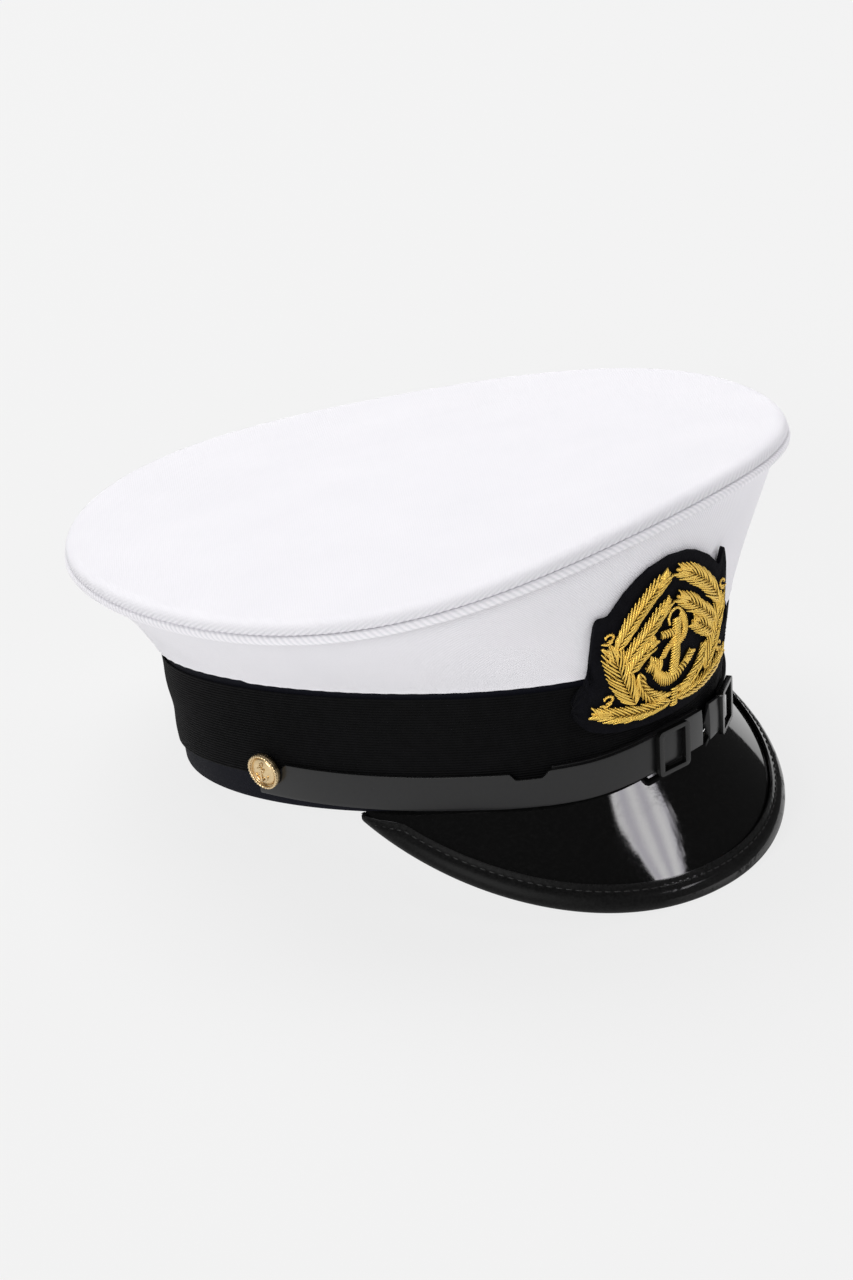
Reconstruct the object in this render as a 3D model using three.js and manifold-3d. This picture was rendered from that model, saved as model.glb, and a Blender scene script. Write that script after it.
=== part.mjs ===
// A captain hat: white crown with a corded rim, ribbed black band, patent peak, chin strap and bullion badge.
// Millimetres, +Z up. The hat is shaped in its own upright frame, with its front towards -Y, its band's lower
// edge near z = 0 and the wearer's right at -X. The last group tips it back until it rests on peak and band.
import * as THREE from 'three';
import { mergeVertices } from 'three/addons/utils/BufferGeometryUtils.js';
import Module from 'manifold-3d';

const wasm = await Module();
wasm.setup();

// Driving sizes
const BAND_LOW = { halfLength: 100.9, halfWidth: 87.7, centreY: 1, sideRise: 2.7 };
const BAND_HIGH = {
  halfLength: 107.3, halfWidth: 91.9, centreY: -6.2, height: 44.9, frontRise: 2.4, sideRise: 3.9,
};
const BAND_TAPER = -0.08;
const RIM = {
  halfLength: 131, halfWidth: 124.4, centreX: 0.5, centreY: 0.8, taper: 0.04, frontFlat: 3,
  height: 85.4, frontRise: 4.9, sideRise: -1, cornerRise: 1.8,
};
// The soft crown sits a little askew: sideways drift of its front, rise of its left side, twist and a wave
const ASKEW = { drift: -2, leftRise: 2.7, twist: 2.3, wave: 1.15 };
const SEGMENTS = 64;
const GAP = 0.3;

const BAND = { outer: -0.6, wall: 2.4 };
const RIBBON = { width: 33, belowHem: 2.3, thickness: 1 };
const SIDE = { proud: 0.6, wall: 2, underSeam: 0.2, insideSeam: 2.2, sections: 3 };
const TOP = { wall: 1.6, dome: 4, rollWidth: 4.4, rollHeight: 4.5, rollSteps: 3, sections: 4 };
const PIPING = { radius: 1.7, sides: 8 };
const PEAK = {
  endAngle: 66.2, reach: 24, slope: 24.4, roundness: 2.09, endFlare: 1.6,
  thickness: 2.2, bulge: 1.5, columns: 32, rows: 4,
};
const BINDING = { width: 6.5, wall: 1, minShare: 0.7 };
const STRAP = {
  width: 13, thickness: 1.2, frontHeight: 6.2, sideLift: 5, lean: 2, leanFrom: 50, leanFull: 15,
  hump: 3.2, humpAngle: 4, humpSpan: 26, step: 4,
};
const SLIDE = { width: 14.5, height: 16.4, bar: 2.2, rail: 1.5, corner: 2.4, thickness: 1.8 };
const BUTTON = { angle: 86.4, above: 3.7, radius: 6.3, rise: 3.4, relief: 0.5, segments: 20 };
const PATCH = { thickness: 1.5, over: 1.1, rows: 3 };
const BADGE = { lean: 1.6, pivot: 50 };
const BULLION = { height: 2.2, edgeHeight: 0.7, steps: 6 };
const REST_FLAT = 0.8;
const FLOOR = { span: 400, depth: 40 };

// Strap lengths: angle round from the front, upper and lower edge from the centre line, layer it lies in
const STRAP_RIGHT = [
  { angle: -89, upper: -4.4, lower: 6.4, layer: 0 },
  { angle: -82, upper: 6.4, lower: 6.4, layer: 0 },
  { angle: -44, upper: 6.4, lower: 6.4, layer: 0 },
  { angle: -36.6, upper: 6.4, lower: 6.4, layer: 0.6 },
  { angle: -35.4, upper: 4.1, lower: 6.3, layer: 0.75 },
  { angle: -30, upper: 4.1, lower: 6.3, layer: 1 },
  { angle: -28.6, upper: 6.5, lower: 6.4, layer: 1 },
  { angle: 14, upper: 6.5, lower: 6.4, layer: 1 },
];
const STRAP_LEFT = [
  { angle: -28, upper: 7.2, lower: 6.2, layer: 0 },
  { angle: 20, upper: 7, lower: 6.2, layer: 0 },
  { angle: 82, upper: 6.4, lower: 6.4, layer: 0 },
  { angle: 89, upper: -4.4, lower: 6.4, layer: 0 },
];
const SLIDES = [
  { name: 'strap_slide_right', angle: 0.7, above: -1.2, layer: 2 },
  { name: 'strap_slide_left', angle: 24, above: 3, layer: 1 },
];

// Section of a button from its middle out and round to its face, as shares of its radius and of its rise
const BUTTON_SECTION = [
  { radius: 0, rise: 0 },
  { radius: 0.9, rise: 0 },
  { radius: 1, rise: 0.3 },
  { radius: 1, rise: 0.6 },
  { radius: 0.91, rise: 0.75 },
  { radius: 0.83, rise: 0.6 },
  { radius: 0.5, rise: 0.85 },
  { radius: 0, rise: 1 },
];
// Anchor on a button, as shares of its radius; the arms turn by a share of a half circle to each side
const BUTTON_ANCHOR = {
  bar: 0.16, shank: 1.1, stock: 0.6, stockHeight: 0.25, arms: 0.55, armsTurn: 0.45, low: 0.05,
};

// Half outline of the badge: across from the centre line, lowest and highest point there
const PATCH_OUTLINE = [
  { across: 0, low: 20.5, high: 79.4 },
  { across: 9, low: 20.8, high: 78 },
  { across: 14, low: 21.2, high: 75.9 },
  { across: 19, low: 21.8, high: 72.6 },
  { across: 22.6, low: 22.5, high: 69 },
  { across: 25.2, low: 23.2, high: 66.2 },
  { across: 29.2, low: 24.9, high: 66.4 },
  { across: 30.6, low: 25.8, high: 64.4 },
  { across: 31.2, low: 26.4, high: 54 },
  { across: 31.6, low: 26.8, high: 44.2 },
  { across: 34, low: 29.3, high: 41.6 },
  { across: 35.6, low: 33.6, high: 37.4 },
];

// One branch of the wreath: base and tip of each leaf, sideways bow of its midrib and its greatest width
const LEAVES = [
  { from: [1.7, 26.8], to: [29.6, 32.4], bow: 1.9, width: 6.2 },
  { from: [15.6, 31.5], to: [25.2, 56], bow: 0.8, width: 8.8 },
  { from: [23, 54], to: [2, 74], bow: 1.8, width: 7.8 },
  { from: [20.8, 47.4], to: [1.6, 64.6], bow: 1.4, width: 7.2 },
  { from: [18.6, 44.2], to: [8.4, 52.6], bow: 0.6, width: 7.2 },
  { from: [14.6, 42.4], to: [3, 29], bow: -3.4, width: 5 },
];
const STEM = { from: [5.5, 28.4], to: [22, 51], bow: 2.4, width: 5.6 };
const TIE = { from: [0.8, 31], to: [0.8, 24.6], bow: 0, width: 3.2 };

// Anchor on the badge: each stroke's ends, bow and width
const ANCHOR = [
  { from: [1.3, 57.4], to: [-0.5, 36.4], bow: 0, width: 3.6 },
  { from: [-6, 52.8], to: [0.6, 52], bow: 0, width: 3 },
  { from: [1.4, 54.6], to: [4.8, 53.2], bow: 0, width: 2.8 },
  { from: [5, 53.8], to: [4.8, 48], bow: 0, width: 2.2 },
  { from: [5.2, 48.6], to: [0.6, 47.6], bow: 0, width: 2.4 },
  { from: [-5.4, 44.6], to: [0.2, 49], bow: 0, width: 2.4 },
  { from: [-9.2, 42.4], to: [8, 41.4], bow: 6.6, width: 3.8 },
  { from: [-11, 44.4], to: [-6.6, 41.6], bow: 0, width: 3.8 },
  { from: [10.2, 44.2], to: [7.4, 40.4], bow: 0, width: 3.4 },
  { from: [-2.6, 55.8], to: [2, 56], bow: -4.4, width: 1.4 },
];

const rad = THREE.MathUtils.degToRad;
const UP = new THREE.Vector3(0, 0, 1);
const NUDGE = 0.01;

// Curves of the hat; t is the angle round from the front, towards the wearer's left

function bandLow(t) {
  const x = BAND_LOW.halfWidth * Math.sin(t) * (1 + BAND_TAPER * Math.cos(t));
  const y = BAND_LOW.centreY - BAND_LOW.halfLength * Math.cos(t);
  return new THREE.Vector3(x, y, BAND_LOW.sideRise * (1 - Math.cos(2 * t)) / 2);
}

function hem(t) {
  const x = BAND_HIGH.halfWidth * Math.sin(t) * (1 + BAND_TAPER * Math.cos(t));
  const y = BAND_HIGH.centreY - BAND_HIGH.halfLength * Math.cos(t);
  const z = BAND_HIGH.height + BAND_HIGH.frontRise * Math.cos(t) - BAND_HIGH.sideRise * Math.cos(2 * t);
  return new THREE.Vector3(x, y, z);
}

// share 1 is the rim's seam, and less than 1 lies inside it on the same gently curved sheet
function rim(t, share = 1) {
  const across = share * Math.sin(t);
  const along = share * Math.cos(t);
  const saddle = along ** 2 - across ** 2;
  const corner = along ** 3 - 3 * along * across ** 2;
  const wave = along ** 4 - 6 * along ** 2 * across ** 2 + across ** 4;
  const x = RIM.centreX + RIM.halfWidth * across * (1 + RIM.taper * along) + ASKEW.drift * along;
  const y = RIM.centreY - RIM.halfLength * along + RIM.frontFlat * saddle;
  const even = RIM.height + RIM.frontRise * along - RIM.sideRise * saddle + RIM.cornerRise * corner;
  const askew = ASKEW.leftRise * across + ASKEW.twist * 2 * across * along + ASKEW.wave * wave;
  return new THREE.Vector3(x, y, even + askew);
}

function outward(curve, t) {
  const run = curve(t + NUDGE).sub(curve(t - NUDGE));
  return new THREE.Vector3(run.y, -run.x, 0).normalize();
}

// A point on the band, height above its lower edge, out from the wall
function bandSkin(t, height, out) {
  const low = bandLow(t);
  const high = hem(t);
  return low.clone().lerp(high, height / (high.z - low.z)).addScaledVector(outward(hem, t), out);
}

const bandHeight = (t) => hem(t).z - bandLow(t).z;

function sideTop(t) {
  const inside = outward(rim, t).multiplyScalar(-SIDE.insideSeam);
  return rim(t).add(inside).addScaledVector(UP, -SIDE.underSeam);
}

function sideSkin(t, share, out) {
  return hem(t).lerp(sideTop(t), share).addScaledVector(outward(rim, t), out);
}

// A point over the hat's front, across from the centre line and at a height, out from band and crown
function frontSkin(across, z, out) {
  const share = Math.max(0, (z - hem(0).z) / (sideTop(0).z - hem(0).z));
  const hemHalf = BAND_HIGH.halfWidth * (1 + BAND_TAPER);
  const rimHalf = RIM.halfWidth * (1 + RIM.taper);
  const t = across / THREE.MathUtils.lerp(hemHalf, rimHalf, share);
  const onBand = z < hem(t).z;
  if (onBand) return bandSkin(t, z - bandLow(t).z, out);
  return sideSkin(t, (z - hem(t).z) / (sideTop(t).z - hem(t).z), out);
}

// Solids

function geometryOf(points, faces) {
  const geometry = new THREE.BufferGeometry();
  geometry.setAttribute('position', new THREE.Float32BufferAttribute(points.flatMap((p) => p.toArray()), 3));
  let volume = 0;
  for (const [a, b, c] of faces) volume += points[a].dot(points[b].clone().cross(points[c]));
  geometry.setIndex(volume > 0 ? faces.flat() : faces.flatMap(([a, b, c]) => [a, c, b]));
  return geometry;
}

// Joins each loop of points to the next one; a cyclic run closes on itself, another gets its ends capped
function skin(loops, { cyclic = false, profile = null } = {}) {
  const count = loops[0].length;
  const points = loops.flat();
  const faces = [];
  const runs = cyclic ? loops.length : loops.length - 1;
  for (let i = 0; i < runs; i += 1) {
    const here = i * count;
    const next = ((i + 1) % loops.length) * count;
    for (let j = 0; j < count; j += 1) {
      const k = (j + 1) % count;
      faces.push([here + j, here + k, next + k], [here + j, next + k, next + j]);
    }
  }
  if (!cyclic) {
    const cap = profile ? THREE.ShapeUtils.triangulateShape(profile, []) : fan(count);
    const last = (loops.length - 1) * count;
    for (const [a, b, c] of cap) faces.push([c, b, a], [last + a, last + b, last + c]);
  }
  return geometryOf(points, faces);
}

function fan(count) {
  return Array.from({ length: count - 2 }, (_, i) => [0, i + 1, i + 2]);
}

function around(sectionAt) {
  return Array.from({ length: SEGMENTS }, (_, i) => sectionAt((i / SEGMENTS) * 2 * Math.PI));
}

function spread(count, from, to) {
  return Array.from({ length: count + 1 }, (_, i) => from + (to - from) * (i / count));
}

function solidOf(geometry) {
  const bare = geometry.clone();
  bare.deleteAttribute('normal');
  bare.deleteAttribute('uv');
  const merged = mergeVertices(bare, 1e-4);
  const vertProperties = new Float32Array(merged.attributes.position.array);
  const triVerts = new Uint32Array(merged.index.array);
  return new wasm.Manifold(new wasm.Mesh({ numProp: 3, vertProperties, triVerts }));
}

function geometryOfSolid(solid) {
  const mesh = solid.getMesh();
  const geometry = new THREE.BufferGeometry();
  geometry.setAttribute('position', new THREE.Float32BufferAttribute(mesh.vertProperties, 3));
  geometry.setIndex(new THREE.Uint32BufferAttribute(mesh.triVerts, 1));
  return geometry;
}

function fuse(geometries) {
  return geometryOfSolid(geometries.map(solidOf).reduce((whole, piece) => whole.add(piece)));
}

// Band and ribbon

function bandWall() {
  const inner = BAND.outer - BAND.wall;
  return skin(around((t) => [
    bandSkin(t, 0, BAND.outer),
    bandSkin(t, bandHeight(t), BAND.outer),
    bandSkin(t, bandHeight(t), inner),
    bandSkin(t, 0, inner),
  ]), { cyclic: true });
}

const RIBBON_OUT = BAND.outer + GAP + RIBBON.thickness;

function ribbon() {
  return skin(around((t) => {
    const high = bandHeight(t) - RIBBON.belowHem;
    const low = high - RIBBON.width;
    return [
      bandSkin(t, low, RIBBON_OUT),
      bandSkin(t, high, RIBBON_OUT),
      bandSkin(t, high, RIBBON_OUT - RIBBON.thickness),
      bandSkin(t, low, RIBBON_OUT - RIBBON.thickness),
    ];
  }), { cyclic: true });
}

// Crown

function crownSide() {
  return skin(around((t) => {
    const shares = spread(SIDE.sections, 0, 1);
    const outer = shares.map((share) => sideSkin(t, share, SIDE.proud * (1 - share)));
    const inner = shares.map((share) => sideSkin(t, share, SIDE.proud * (1 - share) - SIDE.wall));
    const wall = [...outer, ...inner.reverse()];
    wall[0].z += GAP;
    wall.at(-1).z += GAP;
    return wall;
  }), { cyclic: true });
}

const ROLL_SHARE = 1 - TOP.rollWidth / RIM.halfWidth;

function topPoint(t, share, depth) {
  const rise = TOP.rollHeight + TOP.dome * (1 - (share / ROLL_SHARE) ** 2);
  return rim(t, share).addScaledVector(UP, rise - depth);
}

function rollPoint(t, turn, depth) {
  const edge = topPoint(t, ROLL_SHARE, 0);
  const reach = rim(t).sub(edge).setZ(0).multiplyScalar(1 - depth / TOP.rollWidth);
  const drop = (TOP.rollHeight - depth) * Math.sin(turn) - TOP.rollHeight;
  return edge.addScaledVector(reach, Math.cos(turn)).addScaledVector(UP, drop);
}

// Loops run out over the top, round the roll, in under its lip and back below the top
function crownTop() {
  const shares = spread(TOP.sections, 0, ROLL_SHARE).slice(1);
  const turns = spread(TOP.rollSteps, rad(90), 0).slice(1);
  const outer = [
    ...shares.map((share) => around((t) => topPoint(t, share, 0))),
    ...turns.map((turn) => around((t) => rollPoint(t, turn, 0))),
  ];
  const inner = [
    ...shares.map((share) => around((t) => topPoint(t, share, TOP.wall))),
    ...turns.map((turn) => around((t) => rollPoint(t, turn, TOP.wall))),
  ];
  return skin([...outer, ...inner.reverse()]);
}

// The cord lies against the side, just under the roll's lip
function piping() {
  const reach = PIPING.radius + GAP;
  return skin(around((t) => {
    const out = outward(rim, t);
    const slope = sideTop(t).sub(hem(t)).normalize();
    const square = out.clone().multiplyScalar(slope.z).addScaledVector(UP, -slope.dot(out)).normalize();
    const centre = sideTop(t).addScaledVector(square, reach);
    const spare = centre.z + reach - rollPoint(t, 0, 0).z;
    centre.addScaledVector(slope, -spare / slope.z);
    return spread(PIPING.sides, 0, 2 * Math.PI).slice(1).map((turn) => centre.clone()
      .addScaledVector(out, PIPING.radius * Math.cos(turn))
      .addScaledVector(UP, PIPING.radius * Math.sin(turn)));
  }), { cyclic: true });
}

// Peak; side runs from -1 at its right end to 1 at its left end, share from its root to its edge

function peakRoot(side) {
  return bandLow(side * rad(PEAK.endAngle)).addScaledVector(UP, -GAP);
}

function peakEdge(side) {
  const end = bandLow(rad(PEAK.endAngle));
  const turn = side * Math.PI / 2;
  const power = 2 / PEAK.roundness;
  const depth = BAND_LOW.halfLength * (1 - Math.cos(rad(PEAK.endAngle))) + PEAK.reach;
  const forward = depth * Math.abs(Math.cos(turn)) ** power;
  const across = (end.x + PEAK.endFlare) * Math.sign(turn) * Math.abs(Math.sin(turn)) ** power;
  return new THREE.Vector3(across, end.y - forward, -forward * Math.tan(rad(PEAK.slope)));
}

// Square to the peak's slope, on its outside
function peakSquare(side) {
  const down = peakEdge(side).sub(peakRoot(side));
  const run = peakEdge(Math.min(side + NUDGE, 1)).sub(peakEdge(Math.max(side - NUDGE, -1)));
  return down.cross(run).normalize();
}

function peakPoint(side, share, depth) {
  const square = peakSquare(side);
  const bulge = PEAK.bulge * 4 * share * (1 - share) * Math.cos(side * Math.PI / 2);
  return peakRoot(side).lerp(peakEdge(side), share).addScaledVector(square, bulge - depth);
}

function peak() {
  const inset = BINDING.wall + GAP;
  return skin(spread(PEAK.columns, -1, 1).map((side) => {
    const length = peakEdge(side).distanceTo(peakRoot(side));
    const shares = spread(PEAK.rows, 0, 1 - inset / length);
    const outer = shares.map((share) => peakPoint(side, share, 0));
    const inner = shares.map((share) => peakPoint(side, share, PEAK.thickness));
    return [...outer, ...inner.reverse()];
  }));
}

// The binding's section folds round the peak's edge: along runs back from the edge, off stands off the peak
function bindingProfile(width) {
  const { wall } = BINDING;
  const high = GAP + wall;
  const low = -PEAK.thickness - GAP - wall;
  return [
    [-wall, GAP], [-wall, low + wall], [-width, low + wall], [-width, low], [-wall, low],
    [0, low + wall], [0, high - wall], [-wall, high], [-width, high], [-width, GAP],
  ].map(([along, off]) => new THREE.Vector2(along, off));
}

function peakBinding() {
  const loops = spread(PEAK.columns, -1, 1).map((side) => {
    const length = peakEdge(side).distanceTo(peakRoot(side));
    const width = Math.min(BINDING.width, BINDING.minShare * length);
    return bindingProfile(width).map(({ x, y }) => peakPoint(side, 1 + x / length, -y));
  });
  return skin(loops, { profile: bindingProfile(BINDING.width) });
}

// Chin strap

// The strap climbs towards the buttons, and its slides hump it up a little near the front
function strapHeight(t) {
  const fromHump = Math.abs(THREE.MathUtils.radToDeg(t) - STRAP.humpAngle);
  const hump = STRAP.hump * (1 - THREE.MathUtils.smoothstep(fromHump, 0, STRAP.humpSpan));
  return STRAP.frontHeight + STRAP.sideLift * (1 - Math.cos(t)) + hump;
}

// The strap's lower edge stands out over the peak's root at the front
function strapLean(t) {
  const turn = Math.abs(THREE.MathUtils.radToDeg(t));
  return STRAP.lean * (1 - THREE.MathUtils.smoothstep(turn, STRAP.leanFull, STRAP.leanFrom));
}

function strapPoint(t, up, lift) {
  const lowShare = THREE.MathUtils.clamp(0.5 - up / STRAP.width, 0, 1);
  return bandSkin(t, strapHeight(t) + up, RIBBON_OUT + GAP + lift + strapLean(t) * lowShare);
}

const LAYER = STRAP.thickness + GAP;

function strapRows(rows) {
  const fine = [];
  rows.slice(1).forEach((to, i) => {
    const from = rows[i];
    const pieces = Math.ceil((to.angle - from.angle) / STRAP.step);
    for (let k = 0; k < pieces; k += 1) {
      const mix = (key) => THREE.MathUtils.lerp(from[key], to[key], k / pieces);
      fine.push({ angle: mix('angle'), upper: mix('upper'), lower: mix('lower'), layer: mix('layer') });
    }
  });
  return [...fine, rows.at(-1)];
}

function strap(rows) {
  return skin(strapRows(rows).map(({ angle, upper, lower, layer }) => {
    const t = rad(angle);
    const lift = layer * LAYER;
    return [
      strapPoint(t, -lower, lift),
      strapPoint(t, upper, lift),
      strapPoint(t, upper, lift + STRAP.thickness),
      strapPoint(t, -lower, lift + STRAP.thickness),
    ];
  }));
}

// Turns a piece that is drawn in its own XY plane so that it faces out from the strap
function seatOnStrap(object, angle, height, lift) {
  const t = rad(angle);
  const half = STRAP.width / 2;
  const up = strapPoint(t, half, lift).sub(strapPoint(t, -half, lift)).normalize();
  const run = strapPoint(t + NUDGE, 0, lift).sub(strapPoint(t - NUDGE, 0, lift)).normalize();
  const face = run.clone().cross(up).normalize();
  const across = up.clone().cross(face);
  object.quaternion.setFromRotationMatrix(new THREE.Matrix4().makeBasis(across, up, face));
  object.position.copy(strapPoint(t, height, lift));
  return object;
}

function roundedFrame(width, height, corner) {
  const x = width / 2;
  const y = height / 2;
  const path = new THREE.Shape();
  path.moveTo(-x + corner, -y);
  path.lineTo(x - corner, -y).absarc(x - corner, -y + corner, corner, -Math.PI / 2, 0);
  path.lineTo(x, y - corner).absarc(x - corner, y - corner, corner, 0, Math.PI / 2);
  path.lineTo(-x + corner, y).absarc(-x + corner, y - corner, corner, Math.PI / 2, Math.PI);
  path.lineTo(-x, -y + corner).absarc(-x + corner, -y + corner, corner, Math.PI, Math.PI * 1.5);
  return path;
}

function slide() {
  const frame = roundedFrame(SLIDE.width, SLIDE.height, SLIDE.corner);
  const inside = SLIDE.corner - SLIDE.bar / 2;
  frame.holes.push(roundedFrame(SLIDE.width - 2 * SLIDE.bar, SLIDE.height - 2 * SLIDE.rail, inside));
  return new THREE.ExtrudeGeometry(frame, { depth: SLIDE.thickness, bevelEnabled: false, curveSegments: 3 });
}

// Buttons: a domed disc with a raised rim and a raised anchor, turned about its own Z

function buttonDisc() {
  const size = new THREE.Vector2(BUTTON.radius, BUTTON.rise);
  const section = BUTTON_SECTION.map((row) => new THREE.Vector2(row.radius, row.rise).multiply(size));
  return new THREE.LatheGeometry(section, BUTTON.segments).rotateX(Math.PI / 2);
}

function buttonAnchor() {
  const { radius, rise, relief } = BUTTON;
  const { bar, shank, stock, stockHeight, arms, armsTurn, low } = BUTTON_ANCHOR;
  const root = rise / 2;
  const depth = rise + relief - root;
  const block = (wide, high, y) => new THREE.BoxGeometry(wide, high, depth).translate(0, y, root + depth / 2);
  const turns = [-0.5 - armsTurn, -0.5 + armsTurn].map((share) => share * Math.PI);
  const crescent = new THREE.Shape();
  crescent.absarc(0, -low * radius, arms * radius, turns[0], turns[1]);
  crescent.absarc(0, -low * radius, (arms - bar) * radius, turns[1], turns[0], true);
  const curve = new THREE.ExtrudeGeometry(crescent, { depth, bevelEnabled: false, curveSegments: 8 });
  return [
    block(bar * radius, shank * radius, -low * radius),
    block(stock * radius, bar * radius, stockHeight * radius),
    curve.translate(0, 0, root),
  ];
}

function button() {
  return fuse([buttonDisc(), ...buttonAnchor()]);
}

// Badge

// A point over the badge, which is sewn on leaning a little
function onBadge(across, height, out) {
  const pivot = new THREE.Vector2(0, BADGE.pivot);
  const place = new THREE.Vector2(across, height).rotateAround(pivot, rad(BADGE.lean));
  return frontSkin(place.x, place.y, out);
}

function patch() {
  const left = PATCH_OUTLINE.slice(1).reverse().map((row) => ({ ...row, across: -row.across }));
  return skin([...left, ...PATCH_OUTLINE].map(({ across, low, high }) => {
    const heights = spread(PATCH.rows, low, high);
    const inner = heights.map((height) => onBadge(across, height, PATCH.over));
    const outer = heights.map((height) => onBadge(across, height, PATCH.over + PATCH.thickness));
    return [...inner, ...outer.reverse()];
  }));
}

const BULLION_FLOOR = PATCH.over + PATCH.thickness + GAP;

// A ridged stroke of bullion from one point of the badge to another; swell gives its width along the way
function stroke({ from, to, bow, width }, swell, mirror = 1) {
  const start = new THREE.Vector2(...from);
  const run = new THREE.Vector2(...to).sub(start);
  const aside = new THREE.Vector2(run.y, -run.x).normalize();
  return skin(spread(BULLION.steps, 0, 1).map((share) => {
    const rib = start.clone().addScaledVector(run, share);
    rib.addScaledVector(aside, bow * 4 * share * (1 - share));
    const half = width / 2 * swell(share);
    const left = rib.clone().addScaledVector(aside, -half);
    const right = rib.clone().addScaledVector(aside, half);
    const place = (point, out) => onBadge(mirror * point.x, point.y, BULLION_FLOOR + out);
    const edge = BULLION.edgeHeight;
    return [
      place(left, 0), place(left, edge), place(rib, BULLION.height), place(right, edge), place(right, 0),
    ];
  }));
}

const leafSwell = (share) => 0.3 + 0.7 * Math.sin(Math.PI * (0.15 + 0.8 * share)) * (1 - 0.35 * share);
const evenSwell = () => 1;

// The tie that joins the branches belongs to the left one
function wreath(mirror) {
  const leaves = LEAVES.map((leaf) => stroke(leaf, leafSwell, mirror));
  const tie = mirror > 0 ? [stroke(TIE, evenSwell)] : [];
  return fuse([stroke(STEM, evenSwell, mirror), ...leaves, ...tie]);
}

function badgeAnchor() {
  return fuse(ANCHOR.map((line) => stroke(line, evenSwell)));
}

// Materials

function finish(color, roughness, metalness = 0) {
  return new THREE.MeshStandardMaterial({ color, roughness, metalness });
}

const WHITE_TWILL = finish(0xf4f3f7, 0.85);
const NAVY_CLOTH = finish(0x14161f, 0.9);
const BLACK_RIBBON = finish(0x0d0d0f, 0.75);
const PATENT = finish(0x0b0b0c, 0.12);
const STRAP_PATENT = finish(0x1c1c1d, 0.3);
const GILT = finish(0xc9a25a, 0.35, 1);
const FELT = finish(0x12131b, 0.95);
const GOLD_BULLION = finish(0xd8a93a, 0.45, 0.6);

// The hat

const hat = new THREE.Group();

function piece(name, geometry, material, parent = hat) {
  const mesh = new THREE.Mesh(geometry, material);
  mesh.name = name;
  parent.add(mesh);
  return mesh;
}

// At rest the hat stands on the band's back and the middle of the peak's binding, a little flattened there
const bandBack = bandSkin(Math.PI, 0, BAND.outer);
const bindingLow = -PEAK.thickness - GAP - BINDING.wall;
const peakLength = peakEdge(0).distanceTo(peakRoot(0));
const peakFoot = peakPoint(0, 1 - BINDING.wall / peakLength, -bindingLow);
const REST_PITCH = Math.atan2(bandBack.z - peakFoot.z, bandBack.y - peakFoot.y);
hat.rotation.x = -REST_PITCH;
hat.updateMatrix();
const floorZ = bandBack.clone().applyMatrix4(hat.matrix).z + REST_FLAT;

function restOnFloor(geometry) {
  const { span, depth } = FLOOR;
  const block = new THREE.BoxGeometry(span, span, depth).translate(0, 0, floorZ - depth / 2);
  block.applyMatrix4(hat.matrix.clone().invert());
  return geometryOfSolid(solidOf(geometry).subtract(solidOf(block)));
}

piece('crown_top', crownTop(), WHITE_TWILL);
piece('crown_piping', piping(), WHITE_TWILL);
piece('crown_side', crownSide(), WHITE_TWILL);
piece('band', restOnFloor(bandWall()), NAVY_CLOTH);
piece('band_ribbon', ribbon(), BLACK_RIBBON);
piece('peak', peak(), PATENT);
piece('peak_binding', restOnFloor(peakBinding()), PATENT);
piece('chin_strap_right', strap(STRAP_RIGHT), STRAP_PATENT);
piece('chin_strap_left', strap(STRAP_LEFT), STRAP_PATENT);
for (const { name, angle, above, layer } of SLIDES) {
  seatOnStrap(piece(name, slide(), STRAP_PATENT), angle, above, layer * LAYER);
}
for (const [name, side] of [['side_button_right', -1], ['side_button_left', 1]]) {
  seatOnStrap(piece(name, button(), GILT), side * BUTTON.angle, BUTTON.above, LAYER);
}
piece('badge_patch', patch(), FELT);
piece('wreath_right', wreath(-1), GOLD_BULLION);
piece('wreath_left', wreath(1), GOLD_BULLION);
piece('badge_anchor', badgeAnchor(), GOLD_BULLION);

// The origin lies on the floor, under the middle of the resting hat
const middle = new THREE.Box3().setFromObject(hat, true).getCenter(new THREE.Vector3());
hat.position.set(-middle.x, -middle.y, -floorZ);

const captainHat = new THREE.Group();
captainHat.add(hat);

export default captainHat;
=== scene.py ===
"""A captain hat: twill crown, ribbed band, patent peak, chin strap, gilt buttons and bullion badge."""
import math

import bpy
import numpy as np
from bpy.props import FloatProperty, FloatVectorProperty, IntProperty, PointerProperty
from mathutils import Matrix, Quaternion, Vector


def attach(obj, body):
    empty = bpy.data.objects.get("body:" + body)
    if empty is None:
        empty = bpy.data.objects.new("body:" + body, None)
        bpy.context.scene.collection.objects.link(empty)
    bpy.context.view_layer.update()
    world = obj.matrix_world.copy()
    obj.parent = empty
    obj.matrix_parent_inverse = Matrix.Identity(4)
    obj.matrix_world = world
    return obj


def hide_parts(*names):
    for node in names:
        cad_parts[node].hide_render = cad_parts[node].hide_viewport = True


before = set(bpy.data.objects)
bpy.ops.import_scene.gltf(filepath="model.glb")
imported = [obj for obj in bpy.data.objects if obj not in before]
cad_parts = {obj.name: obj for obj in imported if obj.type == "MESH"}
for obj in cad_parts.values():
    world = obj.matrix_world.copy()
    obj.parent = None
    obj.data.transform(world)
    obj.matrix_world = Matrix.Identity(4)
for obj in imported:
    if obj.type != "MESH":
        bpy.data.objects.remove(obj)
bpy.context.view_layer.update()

bl_info = {
    "name": "Captain hat",
    "version": (1, 0, 0),
    "blender": (4, 5, 0),
    "location": "3D View > Sidebar > Captain hat",
    "description": "Builds a captain hat piece by piece round its solid frame",
    "category": "Add Mesh",
}

MM = 0.001
GAP = 0.3 * MM
NUDGE = 0.01
FULL_TURN = 2 * math.pi
FINE = 2001
ALL_ROUND = np.linspace(0, FULL_TURN, FINE)
UP = np.array([0.0, 0.0, 1.0])
SEED = 7
WEAVE = "Weave"
SEAM = "Seam"


# Sizes and colours

def length(name, millimetres, text):
    return FloatProperty(name=name, description=text, default=millimetres * MM, unit="LENGTH", precision=5)


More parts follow.
